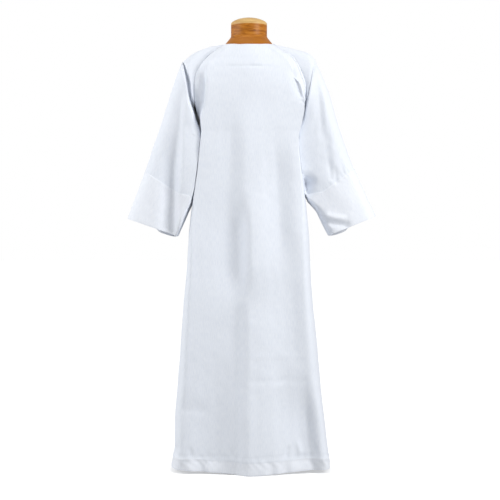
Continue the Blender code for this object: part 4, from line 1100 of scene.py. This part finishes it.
def make_placket(points, normals, sizes):
    """The closed overlap on the wearer's left raglan seam: a strip over the front's outermost cloth, proud
    of it by its own thickness, with rounded edges."""
    heights = points[: SHOULDER_CELLS + 1, -1, 2]
    rows = int(np.argmin(np.abs(heights - OVERLAP_END))) + 1
    from_seam = side_distance(points[:rows])[1]
    width = sizes.placket_width
    wanted = width * (1 - np.linspace(0, 1, PLACKET_CELLS + 1))[None, :]
    base, lying = (
        np.array([
            [np.interp(-wanted[0], -from_seam[row], grid[row, :, axis]) for axis in range(3)]
            for row in range(rows)
        ]).transpose(0, 2, 1)
        for grid in (points, normals)
    )
    lying = unit(lying)
    along = run_length(base, 0)
    tuck = 1 - smoothstep((along[-1:] - along) / OVERLAP_TUCK)
    proud = sizes.placket_rise * (1 - tuck) + OVERLAP_REST
    edge = np.minimum(wanted, width - wanted)
    rise = proud - np.minimum(lip(edge, OVERLAP_EDGE), proud - OVERLAP_LEAST)
    rise += OVERLAP_RIPPLE * uneven_wave(along, *OVERLAP_WAVE) * smoothstep(edge / OVERLAP_RIPPLE_EDGE)
    outer = base + lying * rise[..., None]
    run = run_length(outer, 1)
    weave = np.stack([run, np.broadcast_to(along[:, :1], run.shape)], axis=-1)
    strip = lay_cloth(
        "shoulder_overlap", outer, lying, (rise - OVERLAP_FLOOR)[..., None], False, weave,
        "polycotton_two_layers",
    )
    dress(strip, ["shoulder_placket"])
    thread = slice(3, rows - 4)
    stitching = sew("shoulder_overlap_stitching", [(outer[thread, 2], lying[thread, 2])], sizes)
    return strip, stitching


def make_neck():
    """The turned neck block: its smooth profile carried round the upright axis in rings, with a fan of
    triangles closing the top and the bottom."""
    table = np.array(NECK_PROFILE)
    run = np.concatenate([[0.0], np.cumsum(np.linalg.norm(np.diff(table, axis=0), axis=-1))])
    fine = np.unique(np.concatenate([run, np.linspace(0, run[-1], NECK_BLOCK_CELLS + 1)]))
    radius, height = smooth(fine, run, table[:, 0]), smooth(fine, run, table[:, 1])
    turn = 2 * math.pi * np.arange(NECK_SIDES) / NECK_SIDES
    rows = len(fine) - 2
    ring = np.stack([
        radius[1:-1, None] * np.cos(turn), radius[1:-1, None] * np.sin(turn),
        np.broadcast_to(height[1:-1, None], (rows, NECK_SIDES)),
    ], axis=-1)
    ends = [(0.0, 0.0, height[0]), (0.0, 0.0, height[-1])]
    points = np.concatenate([ring.reshape(-1, 3), ends])
    number = np.arange(rows * NECK_SIDES).reshape(rows, NECK_SIDES)
    number = np.concatenate([number, number[:, :1]], axis=1)
    top, bottom = len(points) - 2, len(points) - 1
    faces = grid_quads(number)[:, [0, 3, 2, 1]].tolist()
    faces += [[top, int(i), int(j)] for i, j in zip(number[0, :-1], number[0, 1:])]
    faces += [[bottom, int(j), int(i)] for i, j in zip(number[-1, :-1], number[-1, 1:])]
    dress(lay_mesh("turned_neck_block", points, faces, "varnished_turned_beech"), ["form_neck"])


# Materials.

WAVE_BAND = 0.31416  # length of one band of a wave texture at scale 1
LIT_CAP_LINE = (1.4738, 1.4752)  # heights over which the neck block's stain gives way to the paler cap, painted light from above
FOOT_SHADE = (1.412, 1.440)  # and the flare's tone to the stain


def linear(code):
    """A colour written as sRGB hex, as the linear numbers that shaders take."""
    part = np.array([int(code[i : i + 2], 16) / 255 for i in (1, 3, 5)])
    value = np.where(part <= 0.04045, part / 12.92, ((part + 0.055) / 1.055) ** 2.4)
    return (*value.tolist(), 1.0)


def add_node(tree, kind, inputs, stops=(), **settings):
    """Adds a node, sets its properties and a ramp's stops, and fills its inputs: a socket is linked, and
    anything else is set as the value."""
    made = tree.nodes.new("ShaderNode" + kind)
    for name, value in settings.items():
        setattr(made, name, value)
    for name, value in inputs.items():
        if isinstance(value, bpy.types.NodeSocket):
            tree.links.new(value, made.inputs[name])
        else:
            made.inputs[name].default_value = value
    for i, (place, colour) in enumerate(stops):
        element = made.color_ramp.elements[i] if i < 2 else made.color_ramp.elements.new(place)
        element.position = place
        element.color = colour
    return made


def new_material(name, **constants):
    """A material of this name with one Principled BSDF, whose plain numbers are set on its own sockets."""
    material = bpy.data.materials.new(name)
    material.use_nodes = True
    shader = material.node_tree.nodes["Principled BSDF"]
    for socket, value in constants.items():
        shader.inputs[socket.replace("_", " ")].default_value = value
    return material, material.node_tree, shader


def two_tones(colour, *shares):
    """A colour's darker tone, each channel times its share, and the colour itself."""
    tone = np.array(linear(colour))
    return tuple((tone * np.array([*shares, 1.0])).tolist()), tuple(tone.tolist())


def make_cloth_material(name, colour, sizes):
    """Polyester and cotton spun together, plain woven and bleached: cool white and matt, with fine ribs of
    thread that catch the light, thicker slubs here and there, and shallow wear wrinkles. The real threads
    are 0.3 mm apart. They are drawn as sizes.weave_pitch, so that they show."""
    _, tree, shader = new_material(
        name, Roughness=0.82, Sheen_Weight=0.10, Sheen_Roughness=0.45, Specular_IOR_Level=0.25, IOR=1.5
    )
    weave = add_node(tree, "UVMap", {}, uv_map="weave").outputs["UV"]
    rib = 1.0 / sizes.weave_pitch
    warp, weft = (
        add_node(
            tree, "TexWave", {"Vector": weave, "Scale": rib * WAVE_BAND, "Distortion": 1.2, "Detail": 1.0},
            bands_direction=across,
        ).outputs["Fac"]
        for across in "XY"
    )
    threads = add_node(tree, "Math", {0: warp, 1: weft}, operation="MULTIPLY")
    stretch = add_node(tree, "Mapping", {"Vector": weave, "Scale": (1.0, 0.12, 1.0)})
    slubs = add_node(
        tree, "TexNoise", {"Vector": stretch.outputs["Vector"], "Scale": 420.0, "Detail": 2.0}
    ).outputs["Fac"]
    wrinkles = add_node(tree, "TexNoise", {"Vector": weave, "Scale": 42.0, "Detail": 5.0, "Roughness": 0.6})
    bump = add_node(
        tree, "Bump", {"Strength": 0.16, "Distance": 0.0004, "Height": threads.outputs["Value"]}
    ).outputs["Normal"]
    for strength, distance, height in ((0.12, 0.0008, slubs), (0.22, 0.0030, wrinkles.outputs["Fac"])):
        bump = add_node(
            tree, "Bump", {"Strength": strength, "Distance": distance, "Height": height, "Normal": bump}
        ).outputs["Normal"]
    deep, tone = two_tones(colour, 0.93, 0.94, 0.96)
    shade = add_node(tree, "ValToRGB", {"Fac": slubs}, stops=[(0.30, deep), (0.62, tone)])
    tree.links.new(shade.outputs["Color"], shader.inputs["Base Color"])
    tree.links.new(bump, shader.inputs["Normal"])


def make_thread_material(colour):
    """Spun polyester thread: the cloth's white with a soft gloss, twisted so that it is ribbed across."""
    _, tree, shader = new_material("spun_polyester_thread", Roughness=0.5)
    place = add_node(tree, "TexCoord", {}).outputs["Object"]
    twist = add_node(tree, "TexNoise", {"Vector": place, "Scale": 2500.0, "Detail": 1.0}).outputs["Fac"]
    dark, tone = two_tones(colour, 0.88, 0.89, 0.91)
    shade = add_node(tree, "ValToRGB", {"Fac": twist}, stops=[(0.35, dark), (0.65, tone)])
    bump = add_node(tree, "Bump", {"Strength": 0.3, "Distance": 0.0001, "Height": twist})
    tree.links.new(shade.outputs["Color"], shader.inputs["Base Color"])
    tree.links.new(bump.outputs["Normal"], shader.inputs["Normal"])


def make_wood_material(colours):
    """Beech, turned, stained brown and varnished, with its cap painted paler as a painted highlight for the
    light from above, and streaks along the grain that lean a little, fine pores, and a thin soft coat."""
    _, tree, shader = new_material(
        "varnished_turned_beech", Roughness=0.42, Coat_Weight=0.04, Coat_Roughness=0.3,
        Specular_IOR_Level=0.2,
    )
    place = add_node(tree, "TexCoord", {}).outputs["Object"]
    lean = add_node(
        tree, "Mapping", {"Vector": place, "Rotation": (0.0, 0.28, 0.0), "Scale": (1.0, 1.0, 7.0)}
    ).outputs["Vector"]
    grain = add_node(
        tree, "TexNoise",
        {"Vector": lean, "Scale": 26.0, "Detail": 6.0, "Roughness": 0.62, "Distortion": 0.6},
    ).outputs["Fac"]
    stained = add_node(
        tree, "ValToRGB", {"Fac": grain},
        stops=[(0.30, linear(colours.wood_dark)), (0.72, linear(colours.wood_light)),
               (0.50, linear(colours.wood_body))],
    )
    # Painted light: the cap's paler colours stand in for the light from above that falls on it.
    painted_lit = add_node(
        tree, "ValToRGB", {"Fac": grain},
        stops=[(0.32, linear(colours.lit_cap_grain)), (0.66, linear(colours.lit_cap_pale))],
    )
    height = add_node(tree, "SeparateXYZ", {"Vector": place}).outputs["Z"]
    # Painted light: the cap mask is 0 below the cap's line and 1 above it, the share of the paler colour
    # painted as light from above.
    cap, low = (
        add_node(
            tree, "MapRange",
            {"Value": height, "From Min": start, "From Max": stop, "To Min": below, "To Max": above},
        ).outputs["Result"]
        for start, stop, below, above in ((*LIT_CAP_LINE, 0.0, 1.0), (*FOOT_SHADE, 1.0, 0.0))
    )
    surface = add_node(
        tree, "Mix", {0: cap, 6: stained.outputs["Color"], 7: painted_lit.outputs["Color"]}, data_type="RGBA"
    )
    worn = add_node(
        tree, "Mix", {0: low, 6: surface.outputs[2], 7: linear(colours.wood_foot)}, data_type="RGBA"
    )
    tree.links.new(worn.outputs[2], shader.inputs["Base Color"])
    pores = add_node(tree, "Bump", {"Strength": 0.25, "Distance": 0.0004, "Height": grain})
    tree.links.new(pores.outputs["Normal"], shader.inputs["Normal"])


def make_linen_material(colour):
    """Unbleached linen stretched over the form: a coarse plain weave, its threads 0.9 mm apart, flecked."""
    material, tree, shader = new_material("stretched_linen_cover", Roughness=0.9, Sheen_Weight=0.2)
    place = add_node(tree, "TexCoord", {}).outputs["Object"]
    level, upright = (
        add_node(
            tree, "TexWave", {"Vector": place, "Scale": 350.0, "Distortion": 1.5, "Detail": 1.0},
            bands_direction=across,
        ).outputs["Fac"]
        for across in "ZX"
    )
    threads = add_node(tree, "Math", {0: level, 1: upright}, operation="MULTIPLY")
    flecks = add_node(tree, "TexNoise", {"Vector": place, "Scale": 260.0, "Detail": 3.0})
    dark, tone = two_tones(colour, 0.72, 0.70, 0.66)
    shade = add_node(
        tree, "ValToRGB", {"Fac": flecks.outputs["Fac"]}, stops=[(0.34, dark), (0.60, tone)]
    )
    bump = add_node(tree, "Bump", {"Strength": 0.5, "Distance": 0.0005, "Height": threads.outputs["Value"]})
    tree.links.new(shade.outputs["Color"], shader.inputs["Base Color"])
    tree.links.new(bump.outputs["Normal"], shader.inputs["Normal"])
    return material


def make_steel_material(colour):
    """Mild steel, powder coated: near black, half gloss, with the coat's fine orange peel and faint dust."""
    material, tree, shader = new_material("powder_coated_steel", Roughness=0.4)
    place = add_node(tree, "TexCoord", {}).outputs["Object"]
    peel = add_node(tree, "TexNoise", {"Vector": place, "Scale": 900.0, "Detail": 2.0})
    dust = add_node(tree, "TexNoise", {"Vector": place, "Scale": 30.0, "Detail": 4.0})
    tone = np.array(linear(colour))
    pale = tuple(np.minimum(tone * 1.7 + 0.006, 1.0).tolist())
    shade = add_node(
        tree, "ValToRGB", {"Fac": dust.outputs["Fac"]}, stops=[(0.42, tuple(tone.tolist())), (0.75, pale)]
    )
    rough = add_node(
        tree, "MapRange", {"Value": dust.outputs["Fac"], "To Min": 0.34, "To Max": 0.5}
    )
    bump = add_node(tree, "Bump", {"Strength": 0.15, "Distance": 0.0003, "Height": peel.outputs["Fac"]})
    tree.links.new(shade.outputs["Color"], shader.inputs["Base Color"])
    tree.links.new(rough.outputs["Result"], shader.inputs["Roughness"])
    tree.links.new(bump.outputs["Normal"], shader.inputs["Normal"])
    return material


# The studio.


def lay_floor(colour):
    """A plain painted floor round the robe, far wider than the view. It glows a little, and more further
    out, so that it fades into the white of the room."""
    turn = 2 * math.pi * np.arange(FLOOR_SIDES) / FLOOR_SIDES
    rim = np.stack([
        FLOOR_RADIUS * np.cos(turn), FLOOR_RADIUS * np.sin(turn), np.full(FLOOR_SIDES, FLOOR_HEIGHT),
    ], axis=-1)
    mesh = bpy.data.meshes.new("studio_floor")
    mesh.from_pydata(rim.tolist(), [], [list(range(FLOOR_SIDES))])
    floor = bpy.data.objects.new("studio_floor", mesh)
    bpy.context.scene.collection.objects.link(floor)
    material, tree, shader = new_material("painted_floor", Roughness=0.9, Specular_IOR_Level=0.1)
    place = add_node(tree, "TexCoord", {}).outputs["Object"]
    grain = add_node(tree, "TexNoise", {"Vector": place, "Scale": 60.0, "Detail": 4.0})
    dark, tone = two_tones(colour, 0.985, 0.985, 0.985)
    shade = add_node(
        tree, "ValToRGB", {"Fac": grain.outputs["Fac"]}, stops=[(0.4, dark), (0.6, tone)]
    )
    tree.links.new(shade.outputs["Color"], shader.inputs["Base Color"])
    shader.inputs["Emission Color"].default_value = (1.0, 1.0, 1.0, 1.0)
    away = add_node(tree, "VectorMath", {0: place}, operation="LENGTH")
    glow = add_node(
        tree, "MapRange",
        {"Value": away.outputs["Value"], "From Min": 1.0, "From Max": 5.0,
         "To Min": 0.40, "To Max": 0.66},
    )
    tree.links.new(glow.outputs["Result"], shader.inputs["Emission Strength"])
    mesh.materials.append(material)
    floor.visible_diffuse = False  # its glow doesn't light the robe from below
    floor.visible_glossy = False


def hang_softboxes(studio):
    """Four soft rectangular lights, each turned towards a point on the robe's axis."""
    lamps = (  # name, power, place, aim, width and height
        ("key_softbox", studio.key, (2.9, -2.2, 2.1), (0.0, 0.0, 0.95), 1.5, 2.0),
        ("fill_softbox", studio.fill, (-3.7, -1.3, 1.8), (0.0, 0.0, 0.85), 1.5, 2.2),
        ("rim_softbox", studio.rim, (-3.6, 0.7, 1.8), (0.0, 0.0, 0.85), 1.5, 2.2),
        ("top_softbox", studio.top, (-0.3, -0.6, 3.6), (0.0, 0.0, 1.1), 2.6, 1.8),
    )
    for name, power, place, aim, width, height in lamps:
        light = bpy.data.lights.new(name, "AREA")
        light.shape = "RECTANGLE"
        light.size, light.size_y, light.energy = width, height, power
        lamp = bpy.data.objects.new(name, light)
        lamp.location = place
        way = np.array(place) - np.array(aim)
        lamp.rotation_euler = (
            math.atan2(math.hypot(way[0], way[1]), way[2]), 0.0, math.atan2(way[0], -way[1])
        )
        bpy.context.scene.collection.objects.link(lamp)


def light_room(strength):
    """Even light all round, and plain white where the room itself is seen."""
    scene = bpy.context.scene
    world = scene.world or bpy.data.worlds.new("studio")
    scene.world = world
    world.use_nodes = True
    tree = world.node_tree
    tree.nodes.clear()
    seen = add_node(tree, "LightPath", {}).outputs["Is Camera Ray"]
    lit = add_node(tree, "Background", {"Color": (0.97, 0.985, 1.0, 1.0), "Strength": strength})
    white = add_node(tree, "Background", {"Color": (1.0, 1.0, 1.0, 1.0), "Strength": 1.0})
    mixed = add_node(
        tree, "MixShader", {0: seen, 1: lit.outputs["Background"], 2: white.outputs["Background"]}
    )
    add_node(tree, "OutputWorld", {"Surface": mixed.outputs["Shader"]})


# The add-on.


class AlbSizes(bpy.types.PropertyGroup):
    """Sizes and strengths of the robe's cloth."""

    cloth_thickness: bpy.props.FloatProperty(
        name="Cloth thickness", description="One layer of the robe's cloth", default=0.0008,
        min=0.0002, max=0.003, unit="LENGTH", precision=5,
    )
    double_thickness: bpy.props.FloatProperty(
        name="Band thickness", description="The two layers of a cuff or of the hem", default=0.0016,
        min=0.0004, max=0.004, unit="LENGTH", precision=5,
    )
    placket_width: bpy.props.FloatProperty(
        name="Overlap width", description="Width of the closed overlap on the left shoulder", default=0.012,
        min=0.004, max=0.03, unit="LENGTH", precision=4,
    )
    placket_rise: bpy.props.FloatProperty(
        name="Overlap rise", description="How far the overlap stands proud of the front", default=0.0022,
        min=0.0005, max=0.004, unit="LENGTH", precision=5,
    )
    stitch_pitch: bpy.props.FloatProperty(
        name="Stitch length", description="From one stitch to the next", default=0.0032,
        min=0.001, max=0.01, unit="LENGTH", precision=5,
    )
    stitch_thread: bpy.props.FloatProperty(
        name="Thread", description="Thickness of the sewing thread", default=0.0005,
        min=0.0001, max=0.002, unit="LENGTH", precision=5,
    )
    weave_pitch: bpy.props.FloatProperty(
        name="Weave pitch", description="Distance between the ribs that are drawn", default=0.0012,
        min=0.0003, max=0.005, unit="LENGTH", precision=5,
    )
    crease_strength: bpy.props.FloatProperty(
        name="Creases", description="Depth of the hand-placed creases, 1 as made", default=1.0,
        min=0.0, max=2.0, subtype="FACTOR",
    )
    ripple_strength: bpy.props.FloatProperty(
        name="Ripples", description="Depth of the small ripples, 1 as made", default=1.0,
        min=0.0, max=3.0, subtype="FACTOR",
    )


class AlbColours(bpy.types.PropertyGroup):
    """Colours as sRGB hex."""

    cloth: bpy.props.StringProperty(
        name="Cloth", description="The robe's bleached cloth", default="#ECF0F7")
    double_cloth: bpy.props.StringProperty(
        name="Cuffs and hem", description="The same cloth in two layers", default="#F0F3F9")
    thread: bpy.props.StringProperty(
        name="Thread", description="The sewing thread", default="#EEF2F8")
    # Painted light: the cap's two colours are paler than the stained wood, standing in for the light from
    # above.
    lit_cap_pale: bpy.props.StringProperty(
        name="Cap, light", description="The neck block's waxed cap", default="#E2BE7E")
    lit_cap_grain: bpy.props.StringProperty(
        name="Cap, dark", description="The cap's darker grain", default="#CDA062")
    wood_light: bpy.props.StringProperty(
        name="Wood, light", description="The lightest streaks of the stained wood", default="#CC8630")
    wood_body: bpy.props.StringProperty(
        name="Wood, body", description="The stained wood", default="#B06A18")
    wood_dark: bpy.props.StringProperty(
        name="Wood, dark", description="The darkest streaks of the stained wood", default="#7C450D")
    wood_foot: bpy.props.StringProperty(
        name="Wood, foot", description="The flare at the block's foot", default="#AE6A1A")
    linen: bpy.props.StringProperty(
        name="Linen", description="The form's cover", default="#C3B295")
    steel: bpy.props.StringProperty(
        name="Stand", description="The stand's powder coat", default="#26272A")
    floor: bpy.props.StringProperty(
        name="Floor", description="The studio floor", default="#F6F6F6")


class AlbStudio(bpy.types.PropertyGroup):
    """The camera and the light."""

    distance: bpy.props.FloatProperty(
        name="Camera distance", description="From the camera to the robe's middle", default=5.0,
        min=2.0, max=20.0, unit="LENGTH",
    )
    frame_width: bpy.props.FloatProperty(
        name="Frame width", description="Width of what is seen at the robe's distance", default=1.665,
        min=0.5, max=5.0, unit="LENGTH",
    )
    aim_x: bpy.props.FloatProperty(
        name="Aim, sideways", description="Where the camera looks", default=0.0033, unit="LENGTH")
    aim_z: bpy.props.FloatProperty(
        name="Aim, height", description="Where the camera looks", default=0.7276, unit="LENGTH")
    key: bpy.props.FloatProperty(
        name="Key softbox", description="Power of the light in front, at the wearer's left", default=89.0,
        min=0.0)
    fill: bpy.props.FloatProperty(
        name="Fill softbox", description="Power of the light at the wearer's right", default=54.0, min=0.0)
    rim: bpy.props.FloatProperty(
        name="Rim softbox", description="Power of the light behind the wearer's right", default=26.0, min=0.0)
    top: bpy.props.FloatProperty(
        name="Top softbox", description="Power of the light overhead", default=14.0, min=0.0)
    sky: bpy.props.FloatProperty(
        name="Room light", description="Strength of the even light all round", default=0.50, min=0.0)


class AlbMaterialsOperator(bpy.types.Operator):
    """Makes the materials, and gives the carried-over solids theirs"""

    bl_idname = "alb.make_materials"
    bl_label = "Materials"

    def execute(self, context):
        sizes, colours = context.scene.alb_sizes, context.scene.alb_colours
        make_cloth_material("polycotton_plain_weave", colours.cloth, sizes)
        make_cloth_material("polycotton_two_layers", colours.double_cloth, sizes)
        make_thread_material(colours.thread)
        make_wood_material(colours)
        linen = make_linen_material(colours.linen)
        steel = make_steel_material(colours.steel)
        for node, material in (("form_torso", linen), ("stand_pole", steel), ("stand_base", steel)):
            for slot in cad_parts[node].material_slots:
                slot.material = material
        return {"FINISHED"}


class AlbPanelsOperator(bpy.types.Operator):
    """Makes the front and the back with their hem bands and stitching, and the overlap on the shoulder"""

    bl_idname = "alb.make_panels"
    bl_label = "Front, back and hem"

    def execute(self, context):
        sizes = context.scene.alb_sizes
        front_creases = FRONT_CREASES + PRESS_FOLDS + SHOULDER_CREASES
        cloth, hem, stitching, points, normals = make_panel(
            "front", FRONT_ROWS, (), front_creases, FRONT_STEPS, -1, sizes
        )
        strip, strip_stitching = make_placket(points, normals, sizes)
        cloth, hem, stitching, _, _ = make_panel(
            "back", BACK_ROWS, BACK_FOLDS, BACK_CREASES + BACK_PRESS_FOLDS, (), 1, sizes
        )
        return {"FINISHED"}


class AlbSleevesOperator(bpy.types.Operator):
    """Makes both raglan sleeves with their deep cuffs and stitching"""

    bl_idname = "alb.make_sleeves"
    bl_label = "Sleeves and cuffs"

    def execute(self, context):
        sizes = context.scene.alb_sizes
        made = (
            ("right", -1, RIGHT_CAP, RIGHT_SLOT, RIGHT_RINGS, RIGHT_BACK_FOLDS,
             RIGHT_SLEEVE_CREASES, RIGHT_SLEEVE_BACK_CREASES, RIGHT_SLEEVE_STEPS, (0.72, 0.60), 0.225),
            ("left", 1, LEFT_CAP, LEFT_SLOT, LEFT_RINGS, LEFT_BACK_FOLDS,
             LEFT_SLEEVE_CREASES + LEFT_CUFF_CREASES, LEFT_SLEEVE_BACK_CREASES, LEFT_SLEEVE_STEPS,
             (0.70, 0.57), 0.214),
        )
        for *settings, flat, area in made:
            cloth, cuff, stitching = make_sleeve(*settings, sizes)
        return {"FINISHED"}


class AlbFormOperator(bpy.types.Operator):
    """Makes the dress form's turned neck block"""

    bl_idname = "alb.make_form"
    bl_label = "Neck block"

    def execute(self, context):
        make_neck()
        return {"FINISHED"}


class AlbStageOperator(bpy.types.Operator):
    """Makes the floor, the light and the camera"""

    bl_idname = "alb.make_stage"
    bl_label = "Studio"

    def execute(self, context):
        scene, studio = context.scene, context.scene.alb_studio
        scene.view_settings.view_transform = "Standard"
        camera = bpy.data.objects.new("camera", bpy.data.cameras.new("camera"))
        camera.data.lens = camera.data.sensor_width * studio.distance / studio.frame_width
        camera.location = (studio.aim_x, -studio.distance, studio.aim_z)
        camera.rotation_euler = (math.pi / 2, 0.0, 0.0)
        scene.collection.objects.link(camera)
        scene.camera = camera
        lay_floor(scene.alb_colours.floor)
        hang_softboxes(studio)
        light_room(studio.sky)
        return {"FINISHED"}


class AlbPanel(bpy.types.Panel):
    """Lists the robe's sizes and colours, and the steps that make it"""

    bl_idname = "ALB_PT_robe"
    bl_label = "Alb robe"
    bl_space_type = "VIEW_3D"
    bl_region_type = "UI"
    bl_category = "Alb robe"

    def draw(self, context):
        for group in (context.scene.alb_sizes, context.scene.alb_colours, context.scene.alb_studio):
            box = self.layout.box()
            for name in group.bl_rna.properties.keys():
                if name not in ("rna_type", "name"):
                    box.prop(group, name)
        for step in OPERATORS:
            self.layout.operator(step.bl_idname)


GROUPS = (("alb_sizes", AlbSizes), ("alb_colours", AlbColours), ("alb_studio", AlbStudio))
OPERATORS = (
    AlbStageOperator, AlbMaterialsOperator, AlbPanelsOperator, AlbSleevesOperator, AlbFormOperator,
)


def register():
    for name, group in GROUPS:
        bpy.utils.register_class(group)
        setattr(bpy.types.Scene, name, bpy.props.PointerProperty(type=group))
    for entry in (*OPERATORS, AlbPanel):
        bpy.utils.register_class(entry)


def unregister():
    for entry in (AlbPanel, *reversed(OPERATORS)):
        bpy.utils.unregister_class(entry)
    for name, group in reversed(GROUPS):
        delattr(bpy.types.Scene, name)
        bpy.utils.unregister_class(group)


def main():
    register()
    bpy.ops.alb.make_stage()
    bpy.ops.alb.make_materials()
    bpy.ops.alb.make_panels()
    bpy.ops.alb.make_sleeves()
    bpy.ops.alb.make_form()


if __name__ == "__main__":
    main()
